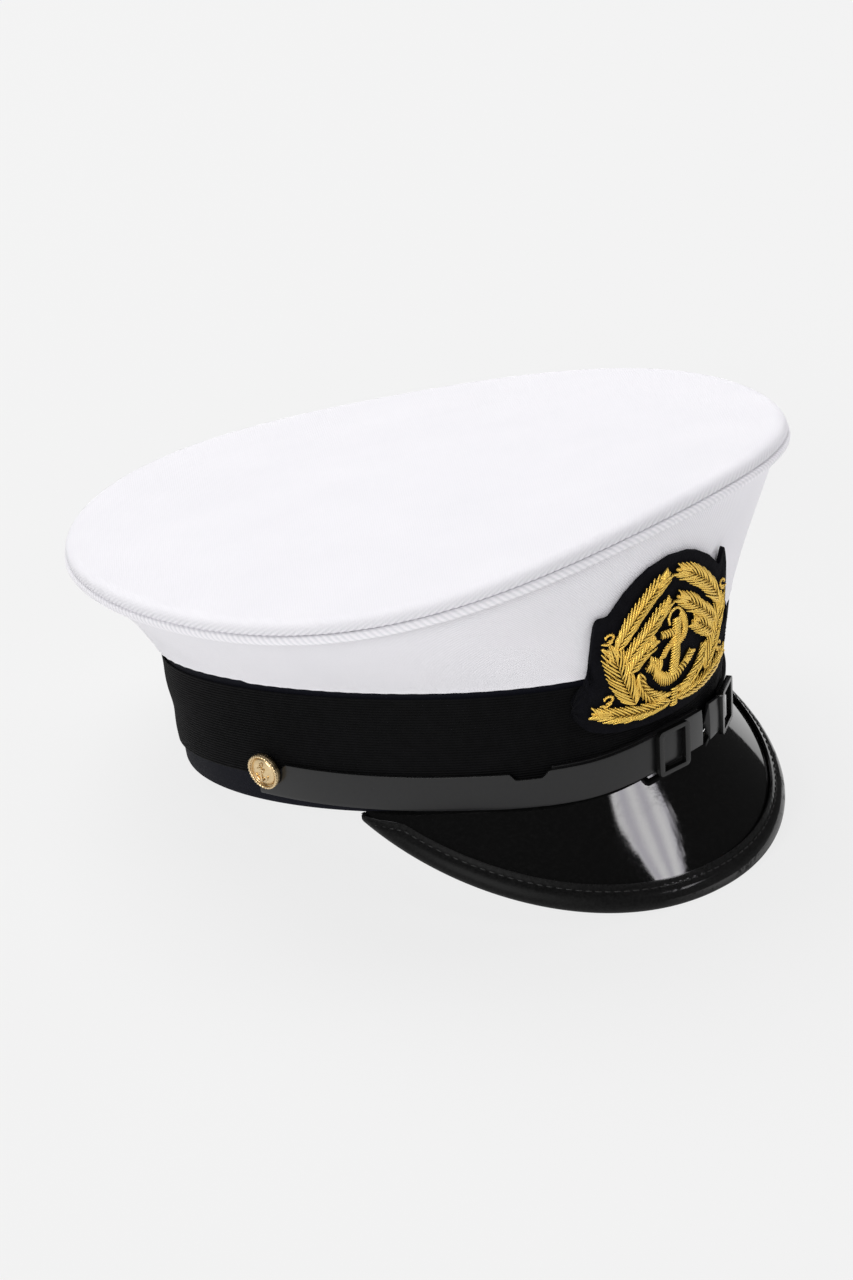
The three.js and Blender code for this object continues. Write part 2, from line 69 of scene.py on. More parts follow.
def angle(name, degrees, text):
    return FloatProperty(name=name, description=text, default=math.radians(degrees), unit="ROTATION")


def ratio(name, value, text):
    return FloatProperty(name=name, description=text, default=value)


def count(name, value, text):
    return IntProperty(name=name, description=text, default=value, min=1)


def colour(name, rgb, text):
    return FloatVectorProperty(
        name=name, description=text, default=rgb, subtype="COLOR", size=3, min=0, max=1)


class BandSizes(bpy.types.PropertyGroup):
    low_length: length("Lower half length", 100.9, "Front to back, at the band's lower edge")
    low_width: length("Lower half width", 87.7, "Side to side, at the band's lower edge")
    low_centre: length("Lower centre", 1, "Middle of the lower edge, towards the back")
    low_rise: length("Lower side rise", 2.7, "How far the lower edge rises at the sides")
    high_length: length("Hem half length", 107.3, "Front to back, at the crown's hem")
    high_width: length("Hem half width", 91.9, "Side to side, at the crown's hem")
    high_centre: length("Hem centre", -6.2, "Middle of the hem, towards the back")
    height: length("Hem height", 44.9, "Mean height of the hem over the lower edge")
    front_rise: length("Hem front rise", 2.4, "How far the hem rises at the front")
    side_rise: length("Hem side rise", 3.9, "How far the hem rises at the sides")
    taper: ratio("Taper", -0.08, "Narrowing of the band towards the front")
    outer: length("Cloth face", -0.6, "Place of the cloth's outer face")
    wall: length("Wall", 2.4, "Thickness of the band")
    ribbon_width: length("Ribbon width", 33, "Height of the ribbed ribbon")
    ribbon_below: length("Ribbon below hem", 2.3, "Strip of cloth that shows above the ribbon")
    ribbon_thickness: length("Ribbon thickness", 1, "Thickness of the ribbon")
    ribs: count("Ribs", 34, "Ribs across the ribbon's height")
    rib_depth: length("Rib depth", 0.32, "Depth of the grooves between ribs")


class CrownSizes(bpy.types.PropertyGroup):
    rim_length: length("Rim half length", 131, "Front to back, at the rim's seam")
    rim_width: length("Rim half width", 124.4, "Side to side, at the rim's seam")
    centre_x: length("Rim centre across", 0.5, "Middle of the rim, towards the wearer's left")
    centre_y: length("Rim centre along", 0.8, "Middle of the rim, towards the back")
    taper: ratio("Taper", 0.04, "Widening of the rim towards the front")
    front_flat: length("Front flattening", 3, "How far the rim's front is flattened")
    height: length("Rim height", 85.4, "Mean height of the rim over the band's lower edge")
    front_rise: length("Front rise", 4.9, "How far the rim rises at the front")
    side_rise: length("Side rise", -1, "How far the rim rises at the sides")
    corner_rise: length("Corner rise", 1.8, "How far the rim rises between front and sides")
    drift: length("Drift", -2, "Sideways drift of the crown's front")
    left_rise: length("Left rise", 2.7, "How far the crown tips up on its left")
    twist: length("Twist", 2.3, "Twist of the soft crown")
    wave: length("Wave", 1.15, "Faint wave of the rim")
    proud: length("Hem proud", 0.6, "How far the hem stands off the band")
    wall: length("Side wall", 2, "Thickness of the crown's side")
    under_seam: length("Under seam", 0.2, "How far the side ends below the seam")
    inside_seam: length("Inside seam", 2.2, "How far the side ends inside the seam")
    top_wall: length("Top wall", 1.6, "Thickness of the top panel")
    dome: length("Dome", 4, "Rise of the top panel over its rolled edge")
    roll_width: length("Roll width", 4.4, "Reach of the rolled edge")
    roll_height: length("Roll height", 4.5, "Height of the rolled edge")
    roll_pitch: length("Roll pitch", 2.7, "Distance between the gathers in the rolled edge")
    roll_gather: length("Roll gathers", 0.2, "Depth of the gathers in the rolled edge")
    piping_radius: length("Piping radius", 1.7, "Radius of the cord in the seam")
    piping_pitch: length("Piping pitch", 2.3, "Distance between the ridges of the cord's cover")
    hem_step: length("Hem step", 1.3, "How far the back panel's hem lies above the front panel's")
    seam_angle: angle("Panel seam", 89.5, "Where the front panel meets the back one")


class PeakSizes(bpy.types.PropertyGroup):
    end_angle: angle("End angle", 66.2, "Where the peak's ends meet the band")
    reach: length("Reach", 24, "How far the peak reaches past the band's front")
    slope: angle("Slope", 24.4, "Fall of the peak")
    roundness: ratio("Roundness", 2.09, "Two is an ellipse, and more is squarer")
    end_flare: length("End flare", 1.6, "How far the peak's ends stand off the band")
    thickness: length("Thickness", 2.2, "Thickness of the peak")
    bulge: length("Bulge", 1.5, "Crown of the peak between root and edge")
    root_lift: length("Root lift", 2.6, "How far the peak's root rides up behind the strap")
    binding_width: length("Binding width", 9, "Width of the binding on top of the peak")
    binding_wall: length("Binding wall", 1, "Thickness of the binding")
    binding_share: ratio("Narrow binding", 0.7, "Most of the peak's depth that it covers near its ends")
    stitch_pitch: length("Stitch pitch", 3.3, "Distance from stitch to stitch")
    stitch_length: length("Stitch length", 2.3, "Length of a stitch")
    stitch_radius: length("Thread radius", 0.28, "Radius of the thread")
    stitch_inset: length("Stitch inset", 2.4, "Distance of the stitches from the binding's inner edge")


class StrapSizes(bpy.types.PropertyGroup):
    width: length("Width", 13, "Width of the chin strap")
    thickness: length("Thickness", 1.2, "Thickness of the chin strap")
    front_height: length("Front height", 6.2, "Height of the strap's middle at the front")
    side_lift: length("Side lift", 5, "How far the strap climbs to the buttons")
    lean: length("Lean", 2, "How far the strap's lower edge stands out over the peak")
    lean_from: angle("Lean from", 50, "Where the strap starts to lean")
    lean_full: angle("Lean full", 15, "Where the strap leans in full")
    hump: length("Hump", 3.2, "How far the slides hump the strap up near the front")
    hump_angle: angle("Hump angle", 4, "Where the strap humps up")
    hump_span: angle("Hump span", 26, "How far the hump reaches to either side")
    slide_width: length("Slide width", 14.5, "Size of a slide along the strap")
    slide_height: length("Slide height", 16.4, "Size of a slide across the strap")
    slide_bar: length("Slide bar", 2.2, "Width of a slide's upright bars")
    slide_rail: length("Slide rail", 1.5, "Width of a slide's upper and lower rails")
    slide_thickness: length("Slide thickness", 1.8, "Thickness of a slide")
    button_angle: angle("Button angle", 86.4, "Where the buttons sit, round from the front")
    button_above: length("Button above", 3.7, "How far a button sits above the strap's middle")
    button_radius: length("Button radius", 6.3, "Radius of a button")
    button_rise: length("Button rise", 3.4, "Rise of a button's dome")


class BadgeSizes(bpy.types.PropertyGroup):
    lean: angle("Lean", 1.6, "Lean of the badge, its left side up")
    pivot: length("Pivot height", 50, "Height that the badge leans about")
    over: length("Stand-off", 1.1, "Height of the patch's back over the hat")
    thickness: length("Patch thickness", 1.5, "Thickness of the felt")
    thread_radius: length("Thread radius", 0.38, "Radius of a bullion thread")
    thread_pitch: length("Thread pitch", 0.9, "Distance from thread to thread")
    padding: length("Padding", 1.5, "Height of the padding under the threads")
    ear: length("Ear", 5, "How far the patch's left shoulder curls up")
    ear_place: length("Ear place", 28.4, "Where the shoulder curls up, across from the middle")


class Colours(bpy.types.PropertyGroup):
    twill: colour("White twill", (0.88, 0.864, 0.9), "Crown and piping")
    # twill_shade is painted shade: between the twill's lines, in the rolled edge's gathers and in the piping
    # cord's grooves.
    twill_shade: colour("Twill shade", (0.74, 0.735, 0.775), "Between the twill's lines")
    navy: colour("Navy cloth", (0.004, 0.0044, 0.0085), "Band")
    ribbon: colour("Black ribbon", (0.0025, 0.0025, 0.0028), "Ribbed ribbon")
    patent: colour("Patent leather", (0.003, 0.003, 0.003), "Peak and binding")
    strap: colour("Strap leather", (0.009, 0.009, 0.0095), "Chin strap")
    slide: colour("Slide enamel", (0.0035, 0.0035, 0.0035), "Slides")
    gilt: colour("Gilt", (0.86, 0.66, 0.38), "Buttons")
    felt: colour("Felt", (0.0036, 0.0036, 0.0052), "Badge's patch")
    gold: colour("Gold thread", (1.0, 0.71, 0.17), "Bullion")
    # gold_shade is the dark end of the bullion's random patches and painted shade between its coil turns;
    # scaled down, it is painted shade on the threads' flanks.
    gold_shade: colour("Gold shade", (0.95, 0.58, 0.09), "Shaded side of the bullion")
    floor: colour("Floor", (0.09, 0.09, 0.09), "Floor and backdrop, beside its own glow")


class StageSizes(bpy.types.PropertyGroup):
    rest_tilt: angle("Rest tilt", 10.0081, "How far the hat tips back at rest")
    rest_offset: FloatVectorProperty(
        name="Rest offset", description="Place of the hat's own origin at rest", size=3, unit="LENGTH",
        default=(-0.3847 * MM, -9.0901 * MM, 16.8047 * MM))
    camera_place: FloatVectorProperty(
        name="Camera place", description="Where the camera stands", size=3, unit="LENGTH",
        default=(-0.882785, -0.988653, 0.70591))
    camera_turn: FloatVectorProperty(
        name="Camera turn", description="How the camera is turned", size=3, unit="ROTATION",
        default=(math.radians(63.4956), math.radians(2.1956), math.radians(-42.6989)))
    lens: FloatProperty(
        name="Lens", description="Focal length in millimetres", default=119.248, subtype="DISTANCE_CAMERA")
    floor_size: length("Floor size", 9000, "Side of the floor")
    floor_glow: ratio("Floor glow", 0.79, "Brightness of the lit backdrop that the floor is")
    sky: ratio("Sky", 0.035, "Brightness of the dark room")
    top_power: ratio("Top light", 45.5, "Power of the softbox over the hat's back in watts")
    front_glow: ratio("Front light", 7, "Brightness of the softbox that the peak mirrors")
    left_power: ratio("Left fill", 32, "Power of the softbox on the camera's left in watts")
    near_power: ratio("Near fill", 7, "Power of the softbox beside the camera in watts")
    right_power: ratio("Right fill", 22, "Power of the softbox on the far side in watts, never mirrored")


class CaptainHat(bpy.types.PropertyGroup):
    band: PointerProperty(type=BandSizes, name="Band", description="Sizes of band and ribbon")
    crown: PointerProperty(type=CrownSizes, name="Crown", description="Sizes of the crown")
    peak: PointerProperty(type=PeakSizes, name="Peak", description="Sizes of the peak")
    strap: PointerProperty(type=StrapSizes, name="Strap", description="Sizes of strap, slides and buttons")
    badge: PointerProperty(type=BadgeSizes, name="Badge", description="Sizes of the badge")
    colours: PointerProperty(type=Colours, name="Colours", description="Colours of the finishes")
    stage: PointerProperty(type=StageSizes, name="Stage", description="Rest, camera and lights")


def hat():
    return bpy.context.scene.captain_hat


# Strap lengths: angle round from the front in degrees, upper and lower edge from the middle in mm, layer
STRAP_COLUMNS = ("angle", "upper", "lower", "layer")
STRAP_RIGHT = (
    (-89, -4.4, 6.4, 0), (-82, 6.4, 6.4, 0), (-44, 6.4, 6.4, 0), (-36.6, 6.4, 6.4, 0.6),
    (-35.4, 4.1, 6.3, 0.75), (-30, 4.1, 6.3, 1), (-28.6, 6.5, 6.4, 1), (12.4, 6.5, 6.4, 1),
)
STRAP_LEFT = (
    (-28, 7.2, 6.2, 0), (12.2, 7, 6.2, 0), (12.5, 0.4, 0.4, 0), (14.9, 0.4, 0.4, 0),
    (15.1, 7.2, 6.2, 1.3), (20, 7.6, 4.6, 1.8), (23, 7.2, 3.4, 2), (24, 6.8, 4, 0.6),
    (27, 6.4, 6.4, 0), (82, 6.4, 6.4, 0), (89, -4.4, 6.4, 0),
)
# Slides: side, angle round from the front in degrees, height over the strap's middle in mm, layer
SLIDES = (("right", 0.7, -0.6, 2), ("left", 24.5, 2, 2))

# Half outline of the patch in mm: across from the middle, lowest and highest point there
PATCH_OUTLINE = (
    (0, 20.5, 79.4), (9, 20.8, 78), (14, 21.2, 75.9), (19, 21.8, 72.6), (22.6, 22.5, 69),
    (25.2, 23.2, 66.2), (29.2, 24.9, 66.4), (30.6, 25.8, 64.4), (31.2, 26.4, 54),
    (31.6, 26.8, 44.2), (34, 29.3, 41.6), (35.6, 33.6, 37.4),
)

# Leaves of one branch in mm: base, tip, bow of the midrib, greatest width
LEAVES = (
    ((1.7, 26.8), (29.6, 32.4), 1.9, 6.2),
    ((15.6, 31.5), (25.2, 56.0), 0.8, 8.8),
    ((23.0, 54.0), (2.0, 74.0), 2.4, 7.2),
    ((20.8, 47.4), (1.8, 64.2), 0.7, 6.4),
    ((18.6, 44.2), (8.4, 52.6), 0.6, 7.2),
    ((14.6, 42.4), (3.0, 29.0), -3.4, 5.0),
)
TIE = ((0.8, 31.0), (0.8, 24.6), 0.0, 3.2)
KNOTS = ((25.6, 59.4), (24.8, 36.2))

# Satin strokes of the anchor in mm: ends, bow and width
ANCHOR = (
    ((1.3, 57.4), (-0.5, 36.4), 0.0, 4.0),
    ((-6.0, 52.8), (0.6, 52.0), 0.0, 3.0),
    ((-9.2, 42.2), (6.4, 39.8), 5.6, 5.0),
    ((-11.4, 44.6), (-5.8, 41.4), 0.0, 5.2),
    ((8.4, 42.2), (5.6, 38.8), 0.0, 3.6),
)
# Twisted cord of the anchor in mm: half its width, and points that it passes
ANCHOR_CORDS = (
    (0.3, ((-2.4, 55.6), (-2.9, 57.6), (-1.9, 59.8), (0.0, 60.7), (1.7, 60.3), (3.0, 58.8), (2.4, 57.0))),
    (1.3, ((2.6, 58.2), (4.2, 55.6), (4.8, 52.8), (4.5, 50.2), (3.4, 48.4), (1.0, 47.6))),
    (1.2, ((0.6, 49.4), (-2.4, 48.2), (-4.2, 46.6), (-5.6, 44.4))),
)


# Curves and faces of the hat in its own upright frame.
# t is the angle round from the front, to the wearer's left.

def stack(*parts):
    return np.stack(np.broadcast_arrays(*[np.asarray(part, float) for part in parts]), axis=-1)


def unit(vectors):
    return vectors / np.linalg.norm(vectors, axis=-1, keepdims=True)


def mix(first, second, share):
    return first + (second - first) * np.asarray(share)[..., None]


def smooth(low, high, value):
    share = np.clip((value - low) / (high - low), 0, 1)
    return share * share * (3 - 2 * share)


def bell(distance, span):
    return np.exp(-(distance / span) ** 2)


def from_front(t):
    """The angle round from the front on either side, from 0 to half a turn."""
    return np.abs((t + math.pi) % FULL_TURN - math.pi)


def band_low(t):
    s = hat().band
    x = s.low_width * np.sin(t) * (1 + s.taper * np.cos(t))
    return stack(x, s.low_centre - s.low_length * np.cos(t), s.low_rise * (1 - np.cos(2 * t)) / 2)


def hem(t):
    s = hat().band
    x = s.high_width * np.sin(t) * (1 + s.taper * np.cos(t))
    z = s.height + s.front_rise * np.cos(t) - s.side_rise * np.cos(2 * t)
    return stack(x, s.high_centre - s.high_length * np.cos(t), z)


def rim(t, share=1.0):
    s = hat().crown
    across, along = share * np.sin(t), share * np.cos(t)
    saddle = along ** 2 - across ** 2
    corner = along ** 3 - 3 * along * across ** 2
    wave = along ** 4 - 6 * along ** 2 * across ** 2 + across ** 4
    x = s.centre_x + s.rim_width * across * (1 + s.taper * along) + s.drift * along
    y = s.centre_y - s.rim_length * along + s.front_flat * saddle
    even = s.height + s.front_rise * along - s.side_rise * saddle + s.corner_rise * corner
    return stack(x, y, even + s.left_rise * across + s.twist * 2 * across * along + s.wave * wave)


def outward(curve, t):
    run = curve(t + NUDGE) - curve(t - NUDGE)
    return unit(stack(run[..., 1], -run[..., 0], 0))


def band_height(t):
    return hem(t)[..., 2] - band_low(t)[..., 2]


def band_skin(t, height, out):
    out = np.broadcast_to(out, np.shape(t))
    return mix(band_low(t), hem(t), height / band_height(t)) + outward(hem, t) * out[..., None]


def side_top(t):
    s = hat().crown
    return rim(t) - outward(rim, t) * s.inside_seam - UP * s.under_seam


def side_skin(t, share, out):
    out = np.broadcast_to(out, np.shape(t))
    return mix(hem(t), side_top(t), share) + outward(rim, t) * out[..., None]


def front_skin(across, z, out):
    band, crown = hat().band, hat().crown
    low, high = hem(np.zeros(1))[0, 2], side_top(np.zeros(1))[0, 2]
    share = np.maximum(0, (z - low) / (high - low))
    hem_half = band.high_width * (1 + band.taper)
    rim_half = crown.rim_width * (1 + crown.taper)
    t = across / (hem_half + (rim_half - hem_half) * share)
    hem_z = hem(t)[..., 2]
    on_band = band_skin(t, z - band_low(t)[..., 2], out)
    on_side = side_skin(t, (z - hem_z) / (side_top(t)[..., 2] - hem_z), out)
    return np.where((z < hem_z)[..., None], on_band, on_side)


def on_badge(across, height, out):
    s = hat().badge
    across, height = np.asarray(across, float), np.asarray(height, float) - s.pivot
    cos, sin = math.cos(s.lean), math.sin(s.lean)
    return front_skin(across * cos - height * sin, across * sin + height * cos + s.pivot, out)


def peak_root(side):
    return band_low(side * hat().peak.end_angle) - UP * GAP


def peak_edge(side):
    s = hat().peak
    end = band_low(np.array(s.end_angle))
    turn = side * math.pi / 2
    power = 2 / s.roundness
    depth = hat().band.low_length * (1 - math.cos(s.end_angle)) + s.reach
    forward = depth * np.abs(np.cos(turn)) ** power
    across = (end[0] + s.end_flare) * np.sign(turn) * np.abs(np.sin(turn)) ** power
    return stack(across, end[1] - forward, -forward * math.tan(s.slope))


def peak_depth(side):
    return np.linalg.norm(peak_edge(side) - peak_root(side), axis=-1)


def peak_point(side, share, off):
    run = peak_edge(np.minimum(side + NUDGE, 1)) - peak_edge(np.maximum(side - NUDGE, -1))
    square = unit(np.cross(peak_edge(side) - peak_root(side), run))
    s = hat().peak
    bulge = s.bulge * 4 * share * (1 - share) + s.root_lift * (1 - share) ** 3
    rise = bulge * np.cos(side * math.pi / 2) + off
    return mix(peak_root(side), peak_edge(side), share) + square * rise[..., None]


def ribbon_face():
    s = hat().band
    return s.outer + GAP + s.ribbon_thickness


def strap_point(t, up, lift):
    s = hat().strap
    lean = s.lean * (1 - smooth(s.lean_full, s.lean_from, np.abs(t)))
    low_share = np.clip(0.5 - up / s.width, 0, 1)
    hump = s.hump * (1 - smooth(0, s.hump_span, np.abs(t - s.hump_angle)))
    height = s.front_height + s.side_lift * (1 - np.cos(t)) + hump + up
    return band_skin(t, height, ribbon_face() + GAP + lift + lean * low_share)


def strap_layer():
    return hat().strap.thickness + GAP


def at_rest(points):
    s = hat().stage
    cos, sin = math.cos(s.rest_tilt), math.sin(s.rest_tilt)
    x, y, z = np.moveaxis(points, -1, 0)
    return stack(x, y * cos + z * sin, z * cos - y * sin) + np.array(s.rest_offset)


def arc_lengths(points):
    steps = np.linalg.norm(np.diff(points, axis=0), axis=1)
    return np.concatenate([[0], np.cumsum(steps)])


def rim_run(t):
    """How far along the rim the angle t is, and the length of the whole rim."""
    run = arc_lengths(rim(ALL_ROUND))
    return np.interp(t, ALL_ROUND, run), run[-1]


# Tools of the bench

def only(piece):
    bpy.ops.object.select_all(action="DESELECT")
    piece.select_set(True)
    bpy.context.view_layer.objects.active = piece


def edit(piece):
    only(piece)
    bpy.ops.object.mode_set(mode="EDIT")
    bpy.ops.mesh.select_all(action="SELECT")


def leave_edit():
    bpy.ops.object.mode_set(mode="OBJECT")


def name_piece(name):
    piece = bpy.context.object
    piece.name = name
    piece.data.name = name
    return piece


def points_of(piece):
    flat = np.empty(len(piece.data.vertices) * 3)
    piece.data.vertices.foreach_get("co", flat)
    return flat.reshape(-1, 3)


def set_points(piece, points):
    piece.data.vertices.foreach_set("co", np.ascontiguousarray(points, dtype=np.float32).ravel())
    piece.data.update()


def modify(piece, kind, **settings):
    only(piece)
    bpy.ops.object.modifier_add(type=kind)
    modifier = piece.modifiers[-1]
    for key, value in settings.items():
        setattr(modifier, key, value)
    bpy.ops.object.modifier_apply(modifier=modifier.name)


def thicken(piece, thickness):
    modify(piece, "SOLIDIFY", thickness=thickness, offset=-1)


def round_edges(piece, width, degrees=50):
    limit = math.radians(degrees)
    modify(piece, "BEVEL", width=width, segments=3, limit_method="ANGLE", angle_limit=limit)


def add(primitive, name, **settings):
    """A new piece from one of the primitives, with its place, turn and scale applied."""
    bpy.ops.object.select_all(action="DESELECT")
    primitive(**settings)
    piece = name_piece(name)
    bpy.ops.object.transform_apply(location=True, rotation=True, scale=True)
    return piece


def flat_grid(name, columns, rows):
    """A grid from 0 to 1 both ways, to be wrapped onto a face."""
    piece = add(bpy.ops.mesh.primitive_grid_add, name, x_subdivisions=columns, y_subdivisions=rows,
                size=1, location=(0.5, 0.5, 0))
    piece.data.uv_layers.active.name = WEAVE
    return piece


def weave_map(piece, uv, name=WEAVE):
    layers = piece.data.uv_layers
    layer = layers.get(name) or layers.new(name=name)
    corners = np.empty(len(piece.data.loops), dtype=np.int32)
    piece.data.loops.foreach_get("vertex_index", corners)
    layer.data.foreach_set("uv", np.ascontiguousarray(uv[corners], dtype=np.float32).ravel())


def wrap(piece, face, weave, seam=None):
    flat = points_of(piece)
    u, v = flat[:, 0], flat[:, 1]
    weave_map(piece, weave(u, v))
    if seam:
        weave_map(piece, seam(u, v), SEAM)
    set_points(piece, at_rest(face(u, v)))


def close_seams(piece, outside=False):
    edit(piece)
    bpy.ops.mesh.remove_doubles(threshold=1e-6)
    if outside:
        bpy.ops.mesh.normals_make_consistent(inside=False)
    leave_edit()


def press_on_floor(piece):
    points = points_of(piece)
    points[:, 2] = np.maximum(points[:, 2], 0)
    set_points(piece, points)


def dress(piece, material, node=None, crease=60):
    only(piece)
    piece.data.materials.clear()
    piece.data.materials.append(material)
    bpy.ops.object.shade_smooth_by_angle(angle=math.radians(crease))
    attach(piece, "root")
    if node:
        piece.name = f"dressed_{node}"
        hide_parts(node)


THREAD_RINGS = 7
THREAD_SIDES = 6


def thread_shape():
    """One round-ended thread of unit length and radius, as points ring by ring and faces."""
    piece = add(bpy.ops.mesh.primitive_cylinder_add, "thread", vertices=THREAD_SIDES, radius=1, depth=1,
                location=(0, 0, 0.5))
    for cut in range(1, THREAD_RINGS - 1):
        edit(piece)
        bpy.ops.mesh.bisect(plane_co=(0, 0, cut / (THREAD_RINGS - 1)), plane_no=(0, 0, 1))
        leave_edit()
    points = points_of(piece)
    faces = [tuple(face.vertices) for face in piece.data.polygons]
    bpy.data.objects.remove(piece)
    return points, faces


def sew_threads(name, runs, tops, radius, taper=0.45):
    """Sweeps copies of one thread along runs of THREAD_RINGS points, with tops pointing off the cloth."""
    shape, faces = thread_shape()
    ring = np.rint(shape[:, 2] * (THREAD_RINGS - 1)).astype(int)
    runs, tops = np.asarray(runs), np.asarray(tops)
    along = unit(np.gradient(runs, axis=1))
    beside = unit(np.cross(along, tops))
    above = np.cross(beside, along)
    thin = np.where((ring == 0) | (ring == THREAD_RINGS - 1), taper, 1.0)
    radii = np.broadcast_to(np.asarray(radius, float), (len(runs),))[:, None]
    x = (shape[:, 0] * thin)[None, :] * radii
    y = (shape[:, 1] * thin)[None, :] * radii
    points = runs[:, ring] + beside[:, ring] * x[..., None] + above[:, ring] * y[..., None]
    total = len(shape)
    mesh = bpy.data.meshes.new(name)
    every = [tuple(k * total + corner for corner in face) for k in range(len(runs)) for face in faces]
    mesh.from_pydata(points.reshape(-1, 3).tolist(), [], every)
    piece = bpy.data.objects.new(name, mesh)
    bpy.context.scene.collection.objects.link(piece)
    reach = np.linalg.norm(np.diff(runs, axis=1), axis=-1).sum(axis=1)
    turn = np.arccos(np.clip(shape[:, 1], -1, 1)) / FULL_TURN
    coil = stack(shape[None, :, 2] * reach[:, None], turn[None, :] * 4 * radii)
    weave_map(piece, coil.reshape(-1, 2))
    close_seams(piece, outside=True)
    return piece


def join(pieces, name):
    only(pieces[0])
    for piece in pieces[1:]:
        piece.select_set(True)
    bpy.ops.object.join()
    return name_piece(name)


# Finishes

class Value:
    """A socket whose sums and products add Math nodes."""

    def __init__(self, paint, socket):
        self.paint = paint
        self.socket = socket

    def __add__(self, other):
        return self.paint.math("ADD", self, other)

    __radd__ = __add__

    def __sub__(self, other):
        return self.paint.math("SUBTRACT", self, other)

    def __rsub__(self, other):
        return self.paint.math("SUBTRACT", other, self)

    def __mul__(self, other):
        return self.paint.math("MULTIPLY", self, other)

    __rmul__ = __mul__

    def wave(self, pitch):
        """From 0 to 1 and back once in each pitch."""
        return self.paint.math("SINE", self * (FULL_TURN / pitch)) * 0.5 + 0.5


class Paint:
    """A finish, built from nodes."""

    def __init__(self, name):
        self.material = bpy.data.materials.new(name)
        self.material.use_nodes = True
        self.tree = self.material.node_tree
        self.tree.nodes.clear()

    def node(self, kind, settings=None, sockets=None, output=0):
        made = self.tree.nodes.new(kind)
        for key, value in (settings or {}).items():
            setattr(made, key, value)
        for key, value in (sockets or {}).items():
            if isinstance(value, Value):
                self.tree.links.new(value.socket, made.inputs[key])
            else:
                made.inputs[key].default_value = value
        return Value(self, made.outputs[output]) if made.outputs else None

    def math(self, operation, *values):
        return self.node("ShaderNodeMath", {"operation": operation}, dict(enumerate(values)))

    def weave(self, layer=WEAVE):
        cloth = self.node("ShaderNodeUVMap", {"uv_map": layer})
        return [self.node("ShaderNodeSeparateXYZ", {}, {0: cloth}, axis) for axis in (0, 1)]

    def place(self):
        return self.node("ShaderNodeTexCoord", {}, {}, 3)

    def noise(self, scale, detail):
        sockets = {"Vector": self.place(), "Scale": scale, "Detail": detail}
        return self.node("ShaderNodeTexNoise", {}, sockets)

    def clamp(self, value, low, high):
        return self.node("ShaderNodeMapRange", {"clamp": True}, {0: value, 1: low, 2: high, 3: 0.0, 4: 1.0})

    def blend(self, factor, first, second):
        sockets = {0: factor, 6: first, 7: second}
        return self.node("ShaderNodeMix", {"data_type": "RGBA"}, sockets, 2)

    def bump(self, height, distance, strength):
        sockets = {"Height": height, "Distance": distance, "Strength": strength}
        return self.node("ShaderNodeBump", {}, sockets)

    def done(self, **sockets):
        """Ends the finish; a socket's name has underscores for its spaces."""
        named = {key.replace("_", " "): value for key, value in sockets.items()}
        face = self.node("ShaderNodeBsdfPrincipled", {}, named)
        self.node("ShaderNodeOutputMaterial", {}, {"Surface": face})
        return self.material


def rgba(rgb, scale=1.0):
    return (rgb[0] * scale, rgb[1] * scale, rgb[2] * scale, 1.0)


def finish(paint_it):
    """Makes a function that paints into one that hands out its material, painted once."""
    name = f"finish_{paint_it.__name__}"

    def material():
        return bpy.data.materials.get(name) or paint_it(Paint(name))
    return material


def twill(paint, contrast, gathers=False):
    c, s = hat().colours, hat().crown
    u, v = paint.weave()
    line = (u + v * 0.75).wave(1.05 * MM)
    cross = (u * 0.75 - v).wave(0.58 * MM)
    fuzz = paint.noise(2600, 2)
    soft = paint.noise(34, 3)
    height = line * (0.75 * contrast) + cross * 0.12 + fuzz * 0.3
    # The twill's lines are painted shade between its ridges, mixed with random mottling; contrast sets how
    # strong that painted shade is.
    light = line * (0.55 * contrast) + soft * 0.35 + fuzz * 0.35 + 0.3 * (1 - contrast)
    tint = paint.blend(paint.clamp(light, 0.1, 0.95), rgba(c.twill_shade), rgba(c.twill))
    if gathers:
        along, above = paint.weave(SEAM)
        fade = 1 - paint.clamp(above, 0.4 * MM, 3.4 * MM)
        # Painted shade in the grooves of the roll's gathers, fading out up the roll from its lip.
        ridge = (along - above * 2).wave(s.roll_pitch) * fade
        tint = paint.blend(ridge * 0.6, tint, rgba(c.twill_shade, 0.85))
        height = height - ridge
    bump = paint.bump(height, 0.22 * MM, 0.55)
    return paint.done(Base_Color=tint, Roughness=0.78 + 0.12 * fuzz, Normal=bump,
                      Sheen_Weight=0.12, Sheen_Roughness=0.5)


@finish
def side_twill(paint):
    return twill(paint, 1.0)


@finish
def top_twill(paint):
    return twill(paint, 0.3, gathers=True)


@finish
def corded_twill(paint):
    c, s = hat().colours, hat().crown
    u, v = paint.weave()
    pitch = s.piping_pitch
    ridge = (u + v * (2 * pitch / math.pi / s.piping_radius) + pitch / 4).wave(pitch)
    line = (u + v * 1.2).wave(0.7 * MM)
    fuzz = paint.noise(2600, 2)
    # Painted shade in the grooves between the cord's ridges and painted highlight on their crests, with
    # random fuzz.
    shade = paint.clamp(ridge * 0.75 + line * 0.12 + fuzz * 0.3, 0.05, 0.95)
    tint = paint.blend(shade, rgba(c.twill_shade), rgba(c.twill, 1.05))
    bump = paint.bump(line * 0.6 + fuzz * 0.4, 0.12 * MM, 0.5)
    return paint.done(Base_Color=tint, Roughness=0.8 + 0.1 * fuzz, Normal=bump, Sheen_Weight=0.12)


@finish
def navy_cloth(paint):
    c = hat().colours
    u, v = paint.weave()
    weave = (u + v).wave(0.8 * MM) * (u - v).wave(0.8 * MM)
    fuzz = paint.noise(1800, 3)
    # Darker in the weave's hollows: painted shade, with random fuzz on top.
    tint = paint.blend(paint.clamp(weave + fuzz * 0.8, 0.2, 1.3), rgba(c.navy, 0.55), rgba(c.navy, 1.5))
    bump = paint.bump(weave + fuzz, 0.15 * MM, 0.5)
    return paint.done(Base_Color=tint, Roughness=0.82 + 0.12 * fuzz, Normal=bump,
                      Sheen_Weight=0.02, Specular_IOR_Level=0.12)


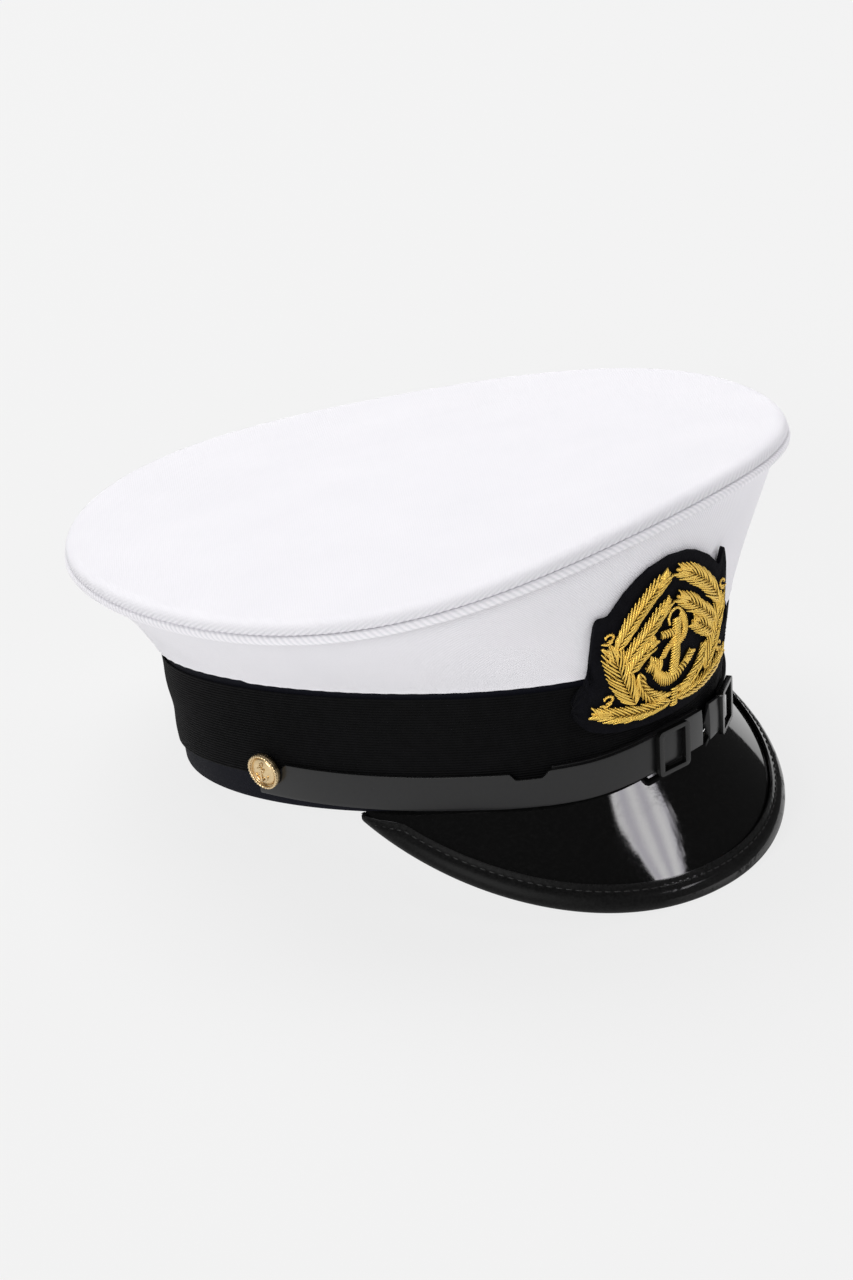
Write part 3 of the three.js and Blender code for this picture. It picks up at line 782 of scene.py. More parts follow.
@finish
def black_ribbon(paint):
    c = hat().colours
    u, _ = paint.weave()
    cross = u.wave(0.5 * MM)
    slub = paint.noise(260, 4)
    fuzz = paint.noise(2400, 2)
    light = paint.clamp(slub * 0.7 + fuzz * 0.5, 0.3, 0.9)
    tint = paint.blend(light, rgba(c.ribbon, 0.6), rgba(c.ribbon, 1.7))
    bump = paint.bump(cross * 0.4 + fuzz * 0.6, 0.1 * MM, 0.5)
    return paint.done(Base_Color=tint, Roughness=0.55 + 0.25 * fuzz, Normal=bump, Specular_IOR_Level=0.06)


@finish
def patent_leather(paint):
    c = hat().colours
    broad = paint.noise(42, 3)
    fine = paint.noise(900, 2)
    dust = paint.noise(900, 4)
    tint = paint.blend(paint.clamp(dust, 0.45, 0.85), rgba(c.patent), rgba(c.patent, 2.2))
    bump = paint.bump(broad + fine * 0.05, 0.1 * MM, 1.0)
    return paint.done(Base_Color=tint, Roughness=0.05 + 0.05 * paint.clamp(dust, 0.5, 0.8), Normal=bump,
                      Coat_Weight=0.6, Coat_Roughness=0.03)


@finish
def binding_leather(paint):
    c = hat().colours
    _, v = paint.weave()
    grain = paint.noise(1100, 3)
    broad = paint.noise(140, 2)
    tint = paint.blend(paint.clamp(grain, 0.35, 0.8), rgba(c.patent), rgba(c.patent, 3))
    bump = paint.bump(grain * 0.4 + broad, 0.2 * MM, 0.6)
    across = paint.node("ShaderNodeSeparateXYZ", {}, {0: paint.place()}, 0)
    rubbed = paint.clamp(across, -25 * MM, -5 * MM) * paint.clamp(v, 8 * MM, 9 * MM)
    worn = paint.clamp(broad * 0.6 + grain * 0.4, 0.38, 0.46) * rubbed
    inner_bead = paint.clamp(v, 13.35 * MM, 13.45 * MM)
    gloss = paint.math("MAXIMUM", worn * 0.9, inner_bead)
    return paint.done(Base_Color=tint, Roughness=0.4 + 0.2 * grain, Normal=bump, Specular_IOR_Level=0.12,
                      Coat_Weight=gloss, Coat_Roughness=0.1)


@finish
def strap_leather(paint):
    c = hat().colours
    grain = paint.noise(700, 4)
    broad = paint.noise(60, 2)
    tint = paint.blend(paint.clamp(grain, 0.3, 0.8), rgba(c.strap, 0.9), rgba(c.strap, 1.12))
    bump = paint.bump(grain * 0.1 + broad, 0.1 * MM, 0.2)
    return paint.done(Base_Color=tint, Roughness=0.26 + 0.06 * grain, Normal=bump, Specular_IOR_Level=0.4)


@finish
def slide_enamel(paint):
    c = hat().colours
    grain = paint.noise(500, 3)
    tint = paint.blend(grain, rgba(c.slide, 0.8), rgba(c.slide, 1.3))
    bump = paint.bump(grain, 0.06 * MM, 0.3)
    return paint.done(Base_Color=tint, Roughness=0.2 + 0.08 * grain, Normal=bump, Specular_IOR_Level=0.35)


@finish
def gilt(paint):
    c = hat().colours
    worn = paint.noise(900, 4)
    broad = paint.noise(300, 3)
    tint = paint.blend(paint.clamp(broad * 0.6 + worn * 0.5, 0.3, 0.75), rgba(c.gilt, 0.72), rgba(c.gilt))
    bump = paint.bump(worn, 0.06 * MM, 0.4)
    return paint.done(Base_Color=tint, Roughness=0.24 + 0.2 * worn, Metallic=1.0, Normal=bump)


@finish
def felt(paint):
    c = hat().colours
    fibre = paint.noise(1500, 5)
    clump = paint.noise(320, 3)
    light = paint.clamp(fibre * 0.6 + clump * 0.5, 0.3, 0.8)
    tint = paint.blend(light, rgba(c.felt, 0.5), rgba(c.felt, 1.6))
    bump = paint.bump(fibre + clump * 0.6, 0.35 * MM, 0.7)
    return paint.done(Base_Color=tint, Roughness=0.95, Normal=bump, Specular_IOR_Level=0.06,
                      Sheen_Weight=0.012, Sheen_Roughness=0.6)


@finish
def gold_bullion(paint):
    c = hat().colours
    u, v = paint.weave()
    coil = (u + v * 0.12).wave(0.36 * MM)
    patch = paint.noise(240, 3)
    fine = paint.noise(1400, 2)
    # Random patches, with painted shade between the coil's turns.
    light = paint.clamp(patch * 0.75 + coil * 0.3 + fine * 0.2, 0.28, 0.92)
    crest = paint.blend(light, rgba(c.gold_shade), rgba(c.gold))
    # Painted shade on each thread's flanks where the threads meet; it also darkens the padding cores that
    # show in the gaps.
    painted_flank_shade = paint.clamp(v, 0.25 * MM, 0.44 * MM)
    tint = paint.blend(painted_flank_shade, crest, rgba(c.gold_shade, 0.12))
    bump = paint.bump(coil, 0.08 * MM, 0.5)
    return paint.done(Base_Color=tint, Metallic=0.75, Roughness=0.2 + 0.12 * fine, Normal=bump)


@finish
def sewing_thread(paint):
    c = hat().colours
    u, v = paint.weave()
    ply = (u + v * 0.8).wave(0.5 * MM)
    # Lighter on the ply's crests and darker between them: painted shade.
    tint = paint.blend(ply, rgba(c.patent), rgba(c.patent, 2.0))
    return paint.done(Base_Color=tint, Roughness=0.4 + 0.2 * ply, Normal=paint.bump(ply, 0.08 * MM, 0.5))


@finish
def front_light(paint):
    u, v = paint.weave()
    rough = paint.noise(26, 4)
    band = (u + rough * 0.05).wave(0.34)
    left = paint.clamp(u + rough * 0.05 - v * (1 - v) * 0.4, 0.03, 0.08)
    right = 1 - paint.clamp(u + rough * 0.3 - v * 0.05, 0.98, 1.1)
    top = 1 - paint.clamp(v + 0.042 * paint.clamp(u, 0.25, 0.45), 0.99, 1)
    tint = paint.blend(band, (0.72, 0.7, 0.76, 1), (1, 0.99, 1, 1))
    dark = (0, 0, 0, 1)
    glow = paint.blend(left * right * top, dark, tint)
    return paint.done(Base_Color=dark, Emission_Color=glow, Emission_Strength=hat().stage.front_glow)


@finish
def pale_floor(paint):
    c = hat().colours
    mottle = paint.noise(3, 2)
    tint = paint.blend(mottle, rgba(c.floor), rgba(c.floor, 1.02))
    return paint.done(Base_Color=tint, Roughness=0.9, Specular_IOR_Level=0.0, Emission_Color=(1, 1, 1, 1),
                      Emission_Strength=hat().stage.floor_glow)


# Pieces

class HAT_OT_crown_top(bpy.types.Operator):
    """White top panel, domed and rolled over its edge"""
    bl_idname = "captain_hat.crown_top"
    bl_label = "Crown top"

    AROUND = 1200
    SECTION = 28
    ROLL_PART = 0.45
    SWELL = 0.25 * MM
    GATHER_SLANT = 14
    GATHER_FADE = (0.1, 1.1)

    def flat_share(self, v):
        """From 0 in the middle of the panel to 1 where it starts to roll over."""
        return np.clip((1 - v) / (1 - self.ROLL_PART), 0, 1)

    def face(self, u, v):
        s = hat().crown
        t = u * FULL_TURN
        roll_share = 1 - s.roll_width / s.rim_width
        share = self.flat_share(v) * roll_share
        rise = s.roll_height + s.dome * (1 - (share / roll_share) ** 2)
        swell = self.SWELL * np.sin(3 * t + 5 * share) * share * (1 - share) * 4
        top = rim(t, share) + UP * (rise + swell)[..., None]
        turn = math.pi / 2 * np.clip(v / self.ROLL_PART, 0, 1)
        edge = rim(t, roll_share) + UP * s.roll_height
        run, whole = rim_run(t)
        gathers = round(whole / s.roll_pitch) * FULL_TURN / whole
        fade = 1 - smooth(*self.GATHER_FADE, turn)
        gather = np.cos(run * gathers - self.GATHER_SLANT * turn) * fade
        reach = (rim(t) - edge) * np.array([1, 1, 0])
        reach = reach + unit(reach) * (s.roll_gather * gather)[..., None]
        lift = s.roll_height * (np.sin(turn) - 1)
        roll = edge + reach * np.cos(turn)[..., None] + UP * lift[..., None]
        return np.where((v < self.ROLL_PART)[..., None], roll, top)

    def weave(self, u, v):
        s = hat().crown
        t = u * FULL_TURN
        share = self.flat_share(v)
        flat = stack(s.rim_width * share * np.sin(t), s.rim_length * share * np.cos(t))
        edge = np.clip(1 - v / self.ROLL_PART, 0, 1) * s.roll_width * 2
        return flat + stack(np.sin(t), np.cos(t)) * edge[..., None]

    def seam(self, u, v):
        s = hat().crown
        run, _ = rim_run(u * FULL_TURN)
        over_roll = np.clip(v / self.ROLL_PART, 0, 1) * s.roll_width * math.pi / 2
        return stack(run, over_roll + np.maximum(v - self.ROLL_PART, 0))

    def execute(self, context):
        s = hat().crown
        piece = flat_grid("crown_top", self.AROUND, self.SECTION)
        wrap(piece, self.face, self.weave, self.seam)
        close_seams(piece)
        thicken(piece, s.top_wall)
        dress(piece, top_twill(), "crown_top")
        return {"FINISHED"}


class HAT_OT_crown_piping(bpy.types.Operator):
    """Cord in the rim's seam, covered in twill cut on the bias"""
    bl_idname = "captain_hat.crown_piping"
    bl_label = "Crown piping"

    AROUND = 2000
    SIDES = 14
    RIDGE = 0.12
    RIDGE_POWER = 0.8
    TWIST = 4

    def execute(self, context):
        s = hat().crown
        reach = s.piping_radius + GAP

        def face(u, v):
            t = u * FULL_TURN
            out = outward(rim, t)
            slope = unit(side_top(t) - hem(t))
            square = unit(out * slope[..., 2:] - UP * np.sum(slope * out, axis=-1)[..., None])
            centre = side_top(t) + square * reach
            lip = rim(t, 1 - s.roll_width / s.rim_width)
            centre = centre - slope * ((centre[..., 2] + reach - lip[..., 2]) / slope[..., 2])[..., None]
            turn = v * FULL_TURN
            run, whole = rim_run(t)
            ridges = round(whole / s.piping_pitch)
            phase = run / whole * ridges * FULL_TURN + turn * self.TWIST
            groove = 1 - np.abs(np.cos(phase / 2)) ** self.RIDGE_POWER
            radius = s.piping_radius * (1 - self.RIDGE * groove)
            spoke = out * np.cos(turn)[..., None] + UP * np.sin(turn)[..., None]
            return centre + spoke * radius[..., None]

        def weave(u, v):
            return stack(rim_run(u * FULL_TURN)[0], v * FULL_TURN * s.piping_radius)

        piece = flat_grid("crown_piping", self.AROUND, self.SIDES)
        wrap(piece, face, weave)
        close_seams(piece, outside=True)
        dress(piece, corded_twill(), "crown_piping", 80)
        return {"FINISHED"}


class HAT_OT_crown_side(bpy.types.Operator):
    """White side wall, flaring from its turned hem up to the rim"""
    bl_idname = "captain_hat.crown_side"
    bl_label = "Crown side"

    AROUND = 360
    UPWARD = 40
    HEM_ROLL = 0.35 * MM
    HEM_ROLL_SPAN = 1.4 * MM
    SEAM_SOFT = 0.012
    TUCK = 0.4 * MM
    TUCK_SPAN = 0.008
    PUCKER = 0.14 * MM
    PUCKERS = 96
    HEM_FADE = 4 * MM
    RIM_FADE = 5 * MM
    SOFT = 0.5 * MM
    FOLD = 0.9 * MM
    FOLD_ANGLE = FULL_TURN - 2.05
    FOLD_SPAN = 0.16

    def execute(self, context):
        s = hat().crown

        def height_at(t):
            return np.linalg.norm(side_top(t) - hem(t), axis=-1)

        def face(u, v):
            t = u * FULL_TURN
            around = from_front(t)
            tall = height_at(t)
            back = smooth(s.seam_angle - self.SEAM_SOFT, s.seam_angle + self.SEAM_SOFT, around)
            share = v + (1 - v) * (GAP + s.hem_step * back) / tall
            above = v * tall
            roll = self.HEM_ROLL * bell(above, self.HEM_ROLL_SPAN)
            tuck = self.TUCK * bell(around - s.seam_angle, self.TUCK_SPAN) * (1 - v)
            drawn = np.exp(-above / self.HEM_FADE) + np.exp(-(tall - above) / self.RIM_FADE)
            pucker = self.PUCKER * np.sin(self.PUCKERS * t + 2 * np.sin(5 * t)) * drawn
            uneven = 0.5 + 0.5 * np.sin(2 * t + 1)
            soft = self.SOFT * np.sin(7 * t + 3 * v) * np.sin(math.pi * v) * uneven
            beside_fold = (t - self.FOLD_ANGLE) / self.FOLD_SPAN + (v - 0.45) * 1.5
            fold = self.FOLD * bell(beside_fold, 1) * np.sin(math.pi * np.clip(v * 1.3, 0, 1))
            return side_skin(t, share, s.proud * (1 - v) + roll - tuck + pucker + soft - fold)

        def weave(u, v):
            t = u * FULL_TURN
            return stack(rim_run(t)[0], v * height_at(t))

        piece = flat_grid("crown_side", self.AROUND, self.UPWARD)
        wrap(piece, face, weave)
        close_seams(piece)
        thicken(piece, s.wall)
        dress(piece, side_twill(), "crown_side")
        return {"FINISHED"}


class HAT_OT_band(bpy.types.Operator):
    """Navy cloth wall of the head opening"""
    bl_idname = "captain_hat.band"
    bl_label = "Band"

    AROUND = 240
    UPWARD = 24
    EDGE = 0.7 * MM

    def execute(self, context):
        s = hat().band

        def face(u, v):
            t = u * FULL_TURN
            return band_skin(t, v * band_height(t), s.outer)

        def weave(u, v):
            return stack(u * FULL_TURN * s.high_length, v * s.height)

        piece = flat_grid("band", self.AROUND, self.UPWARD)
        wrap(piece, face, weave)
        close_seams(piece)
        thicken(piece, s.wall)
        round_edges(piece, self.EDGE)
        press_on_floor(piece)
        dress(piece, navy_cloth(), "band")
        return {"FINISHED"}


class HAT_OT_ribbon(bpy.types.Operator):
    """Black ribbon with ribs along its length"""
    bl_idname = "captain_hat.ribbon"
    bl_label = "Band ribbon"

    AROUND = 220
    ROWS_A_RIB = 4
    RIB_POWER = 0.7
    SAG = 0.35 * MM
    LOOSE = (1.8, 2.3)
    WALL_SHARE = 0.6

    def execute(self, context):
        s = hat().band

        def face(u, v):
            t = u * FULL_TURN
            high = band_height(t) - s.ribbon_below
            rib = s.rib_depth * (np.abs(np.sin(math.pi * v * s.ribs)) ** self.RIB_POWER - 1)
            loose = 0.25 + smooth(*self.LOOSE, from_front(t))
            crease = self.SAG * np.sin(v * 9 + 1.4 * np.sin(5 * t)) * np.sin(math.pi * v) * loose
            return band_skin(t, high - (1 - v) * s.ribbon_width, ribbon_face() + rib + crease)

        def weave(u, v):
            return stack(u * FULL_TURN * s.high_length, v * s.ribbon_width)

        piece = flat_grid("band_ribbon", self.AROUND, s.ribs * self.ROWS_A_RIB)
        wrap(piece, face, weave)
        close_seams(piece)
        thicken(piece, s.ribbon_thickness * self.WALL_SHARE)
        dress(piece, black_ribbon(), "band_ribbon", 80)
        return {"FINISHED"}


class HAT_OT_peak(bpy.types.Operator):
    """Patent peak, curved down over the brow"""
    bl_idname = "captain_hat.peak"
    bl_label = "Peak"

    ACROSS = 160
    DEEP = 30
    UNDER_BAND = 2.6 * MM
    HALF_ACROSS = 110 * MM
    DEPTH = 60 * MM

    def execute(self, context):
        s = hat().peak

        def face(u, v):
            side = 2 * u - 1
            inset = (s.binding_wall + GAP) / peak_depth(side)
            tuck = self.UNDER_BAND * (0.25 + 0.75 * smooth(0.7, 1, np.abs(side))) / peak_depth(side)
            share = (1 - inset) * (1 - v) - tuck * v
            return peak_point(side, share, np.zeros_like(u))

        def weave(u, v):
            return stack((2 * u - 1) * self.HALF_ACROSS, v * self.DEPTH)

        piece = flat_grid("peak", self.ACROSS, self.DEEP)
        wrap(piece, face, weave)
        thicken(piece, s.thickness)
        dress(piece, patent_leather(), "peak", 50)
        return {"FINISHED"}


class HAT_OT_binding(bpy.types.Operator):
    """Binding folded round the peak's edge, with its row of stitches"""
    bl_idname = "captain_hat.binding"
    bl_label = "Peak binding"

    ACROSS = 420
    SECTION = 30
    MAP_WIDTH = 14 * MM
    WALL_SHARE = 0.9
    LEAST_FLAT = 0.2 * MM
    SINK = 0.22 * MM
    SINK_SPAN = 0.55 * MM
    CROWN = 0.35 * MM
    CROWN_PLACE = 0.45
    CROWN_SPAN = 1.6 * MM
    BEAD = 0.35 * MM
    BEAD_INSET = 0.35 * MM
    BEAD_SPAN = 0.3 * MM

    def section(self, v, width):
        """Distance past the peak's edge and off its top, from the upper inner edge round to the lower."""
        s = hat().peak
        nose = s.thickness / 2 + GAP + s.binding_wall
        flat = np.maximum(width - nose, self.LEAST_FLAT)
        total = 2 * flat + math.pi * nose
        run = v * total
        turn = np.clip((run - flat) / nose, 0, math.pi)
        round_nose = nose * (np.sin(turn) - 1)
        below = np.where(run > total - flat, total - flat - run - nose, round_nose)
        along = np.where(run < flat, run - width, below)
        return along, nose * np.cos(turn) - s.thickness / 2

    def execute(self, context):
        s = hat().peak
        fine = np.linspace(-1, 1, FINE)
        run = arc_lengths(peak_edge(fine))

        def width_at(side):
            return np.minimum(s.binding_width, s.binding_share * peak_depth(side))

        def face(u, v):
            side = 2 * u - 1
            width = width_at(side)
            along, off = self.section(1 - v, width)
            pull = 0.55 + 0.45 * np.cos(FULL_TURN * np.interp(side, fine, run) / s.stitch_pitch)
            sink = self.SINK * bell(along + width - s.stitch_inset, self.SINK_SPAN) * pull
            crown = self.CROWN * bell(along + width * self.CROWN_PLACE, self.CROWN_SPAN)
            bead = self.BEAD * bell(along + width - self.BEAD_INSET, self.BEAD_SPAN)
            relief = np.where(off > 0, crown + bead - sink, 0)
            return peak_point(side, 1 + along / peak_depth(side), off + relief)

        def weave(u, v):
            return stack(np.interp(2 * u - 1, fine, run), v * self.MAP_WIDTH)

        piece = flat_grid("peak_binding", self.ACROSS, self.SECTION)
        wrap(piece, face, weave)
        thicken(piece, s.binding_wall * self.WALL_SHARE)
        press_on_floor(piece)
        dress(piece, binding_leather(), "peak_binding")

        starts = np.arange(2 * s.stitch_pitch, run[-1] - 2 * s.stitch_pitch, s.stitch_pitch)
        stations = starts[:, None] + np.linspace(0, s.stitch_length, THREAD_RINGS)[None, :]
        side = np.interp(stations, run, fine)
        share = 1 - (width_at(side) - s.stitch_inset) / peak_depth(side)
        arch = np.sin(np.linspace(0, math.pi, THREAD_RINGS)) * s.stitch_radius * 0.9
        off = GAP + s.binding_wall - self.SINK + np.broadcast_to(arch, side.shape)
        runs = at_rest(peak_point(side, share, off))
        tops = unit(at_rest(peak_point(side, share, off + MM)) - runs)
        stitches = sew_threads("peak_stitches", runs, tops, s.stitch_radius)
        dress(stitches, sewing_thread())
        return {"FINISHED"}


class HAT_OT_straps(bpy.types.Operator):
    """The two lengths of the patent chin strap"""
    bl_idname = "captain_hat.straps"
    bl_label = "Chin strap"

    STEP = math.radians(0.4)
    ROWS = 10
    EDGE = 0.32 * MM
    CROWN = 0.22 * MM

    def make(self, name, table):
        s = hat().strap
        column = {key: np.array(values, float) for key, values in zip(STRAP_COLUMNS, zip(*table))}
        turns = np.radians(column["angle"])

        def rows(u):
            t = turns[0] + (turns[-1] - turns[0]) * u
            upper, lower = (np.interp(t, turns, column[key]) * MM for key in ("upper", "lower"))
            layer = np.interp(t, turns, column["layer"])
            return t, upper, lower, layer * strap_layer()

        def face(u, v):
            t, upper, lower, lift = rows(u)
            up = -lower + (upper + lower) * v
            crown = self.CROWN * (1 - (2 * v - 1) ** 2)
            return strap_point(t, up, lift + s.thickness + crown)

        def weave(u, v):
            t, upper, lower, _ = rows(u)
            return stack(t * hat().band.low_length, (upper + lower) * v)

        columns = round((turns[-1] - turns[0]) / self.STEP)
        piece = flat_grid(name, columns, self.ROWS)
        wrap(piece, face, weave)
        thicken(piece, s.thickness)
        round_edges(piece, self.EDGE)
        dress(piece, strap_leather(), name, 50)

    def execute(self, context):
        self.make("chin_strap_right", STRAP_RIGHT)
        self.make("chin_strap_left", STRAP_LEFT)
        return {"FINISHED"}


def seat_on_strap(piece, t, above, lift):
    """Turns a piece that faces +Z so that it sits on the strap and faces out from it."""
    half = hat().strap.width / 2

    def at(angle, up):
        return at_rest(strap_point(np.array([angle]), up, lift))[0]

    up = unit(at(t, half) - at(t, -half))
    run = unit(at(t + NUDGE, 0.0) - at(t - NUDGE, 0.0))
    face = unit(np.cross(run, up))
    across = np.cross(up, face)
    turn = Matrix([(*row, 0.0) for row in np.stack([across, up, face], axis=1)] + [(0, 0, 0, 1)])
    piece.data.transform(Matrix.Translation(Vector(at(t, above))) @ turn)
    piece.data.update()


class HAT_OT_slides(bpy.types.Operator):
    """The two slides on the chin strap"""
    bl_idname = "captain_hat.slides"
    bl_label = "Strap slides"

    ROUND = 0.4 * MM
    CORNER = 1.8 * MM

    def frame_shape(self, name):
        s = hat().strap
        piece = add(bpy.ops.mesh.primitive_plane_add, name, size=1)
        set_points(piece, points_of(piece) * (s.slide_width, s.slide_height, 1) + UP * s.slide_thickness)
        edit(piece)
        bpy.ops.mesh.bevel(offset=self.CORNER, segments=5, affect="VERTICES")
        bpy.ops.mesh.select_all(action="SELECT")
        bpy.ops.mesh.inset(thickness=(s.slide_bar + s.slide_rail) / 2, use_boundary=True)
        leave_edit()
        points = points_of(piece)
        window = next(polygon for polygon in piece.data.polygons if polygon.select)
        inner = np.array(window.vertices[:])
        half = points[inner].max(axis=0)
        points[inner, 0] *= (s.slide_width / 2 - s.slide_bar) / half[0]
        points[inner, 1] *= (s.slide_height / 2 - s.slide_rail) / half[1]
        set_points(piece, points)
        bpy.ops.object.mode_set(mode="EDIT")
        bpy.ops.mesh.delete(type="FACE")
        leave_edit()
        thicken(piece, s.slide_thickness)
        round_edges(piece, self.ROUND, 40)
        return piece

    def execute(self, context):
        for side, degrees, above, layer in SLIDES:
            name = f"strap_slide_{side}"
            piece = self.frame_shape(name)
            seat_on_strap(piece, math.radians(degrees), above * MM, layer * strap_layer())
            dress(piece, slide_enamel(), name, 35)
        return {"FINISHED"}


# Section of a button from its back round to its face, as shares of radius and rise
BUTTON_SECTION = (
    (0.86, 0.0), (0.97, 0.1), (1.0, 0.3), (1.0, 0.52), (0.96, 0.64), (0.9, 0.66), (0.86, 0.56), (0.82, 0.54),
    (0.79, 0.66), (0.75, 0.7), (0.72, 0.6), (0.5, 0.76), (0.25, 0.84), (0.08, 0.86),
)


class HAT_OT_buttons(bpy.types.Operator):
    """Gilt buttons with a roped rim and a raised anchor"""
    bl_idname = "captain_hat.buttons"
    bl_label = "Side buttons"

    AROUND = 72
    ROPE_STRANDS = 34
    ROPE_STEPS = 6
    ROPE_RADIUS = 0.93
    ROPE_RISE = 0.66
    ROPE_THICK = 0.075
    ROPE_TWIST = 0.2
    ANCHOR_RISE = 0.86
    ANCHOR_DEPTH = 0.26
    BAR_EDGE = 0.3
    # Shank, stock and flukes in shares of the button's radius: width, height, across, up, and their turn
    BARS = (
        (0.11, 0.86, 0, -0.04, 0), (0.52, 0.1, 0, 0.24, 0),
        (0.2, 0.1, -0.38, -0.2, -0.9), (0.2, 0.1, 0.38, -0.2, 0.9),
    )
    CABLE_BARS = 9

    def dome(self):
        s = hat().strap
        back = BUTTON_SECTION[0][0] * s.button_radius
        piece = add(bpy.ops.mesh.primitive_circle_add, "dome", vertices=self.AROUND, radius=back,
                    fill_type="NGON")
        edit(piece)
        for before, after in zip(BUTTON_SECTION, BUTTON_SECTION[1:]):
            rise = (after[1] - before[1]) * s.button_rise
            bpy.ops.mesh.extrude_region_move(TRANSFORM_OT_translate={"value": (0, 0, rise)})
            scale = after[0] / before[0]
            bpy.ops.transform.resize(value=(scale, scale, 1), center_override=(0, 0, 0))
        leave_edit()
        return piece

    def ring(self, name, radius, thick, up, rise, steps, sides):
        """A torus whose radius, thickness and place up are shares of the button's radius."""
        s = hat().strap
        return add(bpy.ops.mesh.primitive_torus_add, name, major_segments=steps, minor_segments=sides,
                   major_radius=radius * s.button_radius, minor_radius=thick * s.button_radius,
                   location=(0, up * s.button_radius, rise * s.button_rise))

    def rope(self):
        s = hat().strap
        piece = self.ring("rope", self.ROPE_RADIUS, self.ROPE_THICK, 0, self.ROPE_RISE,
                          self.ROPE_STRANDS * self.ROPE_STEPS, 8)
        points = points_of(piece)
        around = np.arctan2(points[:, 1], points[:, 0])
        out = stack(np.cos(around), np.sin(around), 0)
        core = out * self.ROPE_RADIUS * s.button_radius + UP * self.ROPE_RISE * s.button_rise
        spoke = points - core
        turn = np.arctan2(spoke[:, 2], np.sum(spoke * out, axis=1))
        twist = 1 + self.ROPE_TWIST * np.cos(around * self.ROPE_STRANDS + turn)
        set_points(piece, core + spoke * twist[:, None])
        return piece

    def bar(self, wide, high, across, up, turn, deep=1.0):
        """A bar in shares of the button's radius, and of the anchor's depth."""
        s = hat().strap
        r = s.button_radius
        size = (wide * r, high * r, deep * self.ANCHOR_DEPTH * s.button_rise)
        piece = add(bpy.ops.mesh.primitive_cube_add, "bar", size=1, rotation=(0, 0, turn), scale=size,
                    location=(across * r, up * r, self.ANCHOR_RISE * s.button_rise))
        modify(piece, "BEVEL", width=min(size) * self.BAR_EDGE, segments=2)
        return piece

    def anchor(self):
        bars = [self.bar(*sizes) for sizes in self.BARS]
        arms = self.ring("arms", 0.42, 0.06, -0.06, self.ANCHOR_RISE, 40, 8)
        edit(arms)
        cut = (0, -0.2 * hat().strap.button_radius, 0)
        bpy.ops.mesh.bisect(plane_co=cut, plane_no=(0, 1, 0), clear_outer=True, use_fill=True)
        leave_edit()
        eye = self.ring("eye", 0.1, 0.032, 0.48, self.ANCHOR_RISE, 20, 6)
        cable = [
            self.bar(0.09, 0.07, 0.16 * math.sin(share * 4), share * 0.3, share * 2, 0.8)
            for share in np.linspace(-1, 1, self.CABLE_BARS)
        ]
        return [*bars, arms, eye, *cable]

    def execute(self, context):
        s = hat().strap
        for side, sign in (("right", -1), ("left", 1)):
            name = f"side_button_{side}"
            piece = join([self.dome(), self.rope(), *self.anchor()], name)
            seat_on_strap(piece, sign * s.button_angle, s.button_above, strap_layer())
            dress(piece, gilt(), name, 45)
        return {"FINISHED"}


class HAT_OT_patch(bpy.types.Operator):
    """Felt shield of the badge"""
    bl_idname = "captain_hat.patch"
    bl_label = "Badge patch"

    ACROSS = 150
    UPWARD = 64
    STATIONS = 361
    SOFTEN = 5
    EAR_SPAN = 1.6 * MM
    RIPPLE = 0.25 * MM
    EDGE = 0.6 * MM

    def edges(self, u):
        across, low, high = (np.array(column, float) for column in zip(*PATCH_OUTLINE))
        fine = np.linspace(0, across[-1], self.STATIONS)
        kernel = np.ones(2 * self.SOFTEN + 1) / (2 * self.SOFTEN + 1)
        reach = np.abs(2 * u - 1) * across[-1]
        limits = []
        for column in (low, high):
            plain = np.interp(fine, across, column)
            padded = np.pad(plain, self.SOFTEN, mode="edge")
            limits.append(np.interp(reach, fine, np.convolve(padded, kernel, mode="valid")) * MM)
        place = (2 * u - 1) * across[-1] * MM
        s = hat().badge
        ear = s.ear * bell(place - s.ear_place, self.EAR_SPAN)
        return place, limits[0], limits[1] + ear

    def execute(self, context):
        s = hat().badge

        def face(u, v):
            across, low, high = self.edges(u)
            edge = np.minimum(v, 1 - v)
            soft = self.RIPPLE * np.sin(across * 600) * np.sin(v * 23) * smooth(0, 0.1, edge)
            return on_badge(across, low + (high - low) * v, s.over + s.thickness + soft)

        def weave(u, v):
            across, low, high = self.edges(u)
            return stack(across, low + (high - low) * v)

        piece = flat_grid("badge_patch", self.ACROSS, self.UPWARD)
        wrap(piece, face, weave)
        thicken(piece, s.thickness)
        round_edges(piece, self.EDGE)
        dress(piece, felt(), "badge_patch")
        return {"FINISHED"}


# Bullion: runs of thread on the badge, across from its middle, up and off the felt, all in mm

CORD_PITCH = 0.72
KNOT_THICK = 0.4
KNOT_THREAD = 0.62
CORD_THREAD = 0.9
CORE_SHARE = 0.4


def lay(path, rise, mirror):
    """Runs from their paths on one half of the badge and their rise off the felt."""
    rise = np.broadcast_to(rise, path.shape[:-1])
    return np.concatenate([path * np.array([mirror, 1]), rise[..., None]], axis=-1)


def between(starts, ends, steps):
    """Straight paths from starts to ends."""
    return starts[:, None] * (1 - steps)[None, :, None] + ends[:, None] * steps[None, :, None]


def midrib(start, tip, bow, share):
    start, tip = np.array(start, float), np.array(tip, float)
    run = tip - start
    aside = unit(np.array([run[1], -run[0]]))
    return start + run * share[..., None] + aside * (bow * 4 * share * (1 - share))[..., None], aside


def leaf_half(width, share):
    return width / 2 * np.interp(share, (0, 0.3, 0.75, 0.92, 1), (0.45, 0.86, 0.92, 0.84, 0.6))


def even_half(width, share):
    return np.full_like(share, width / 2)


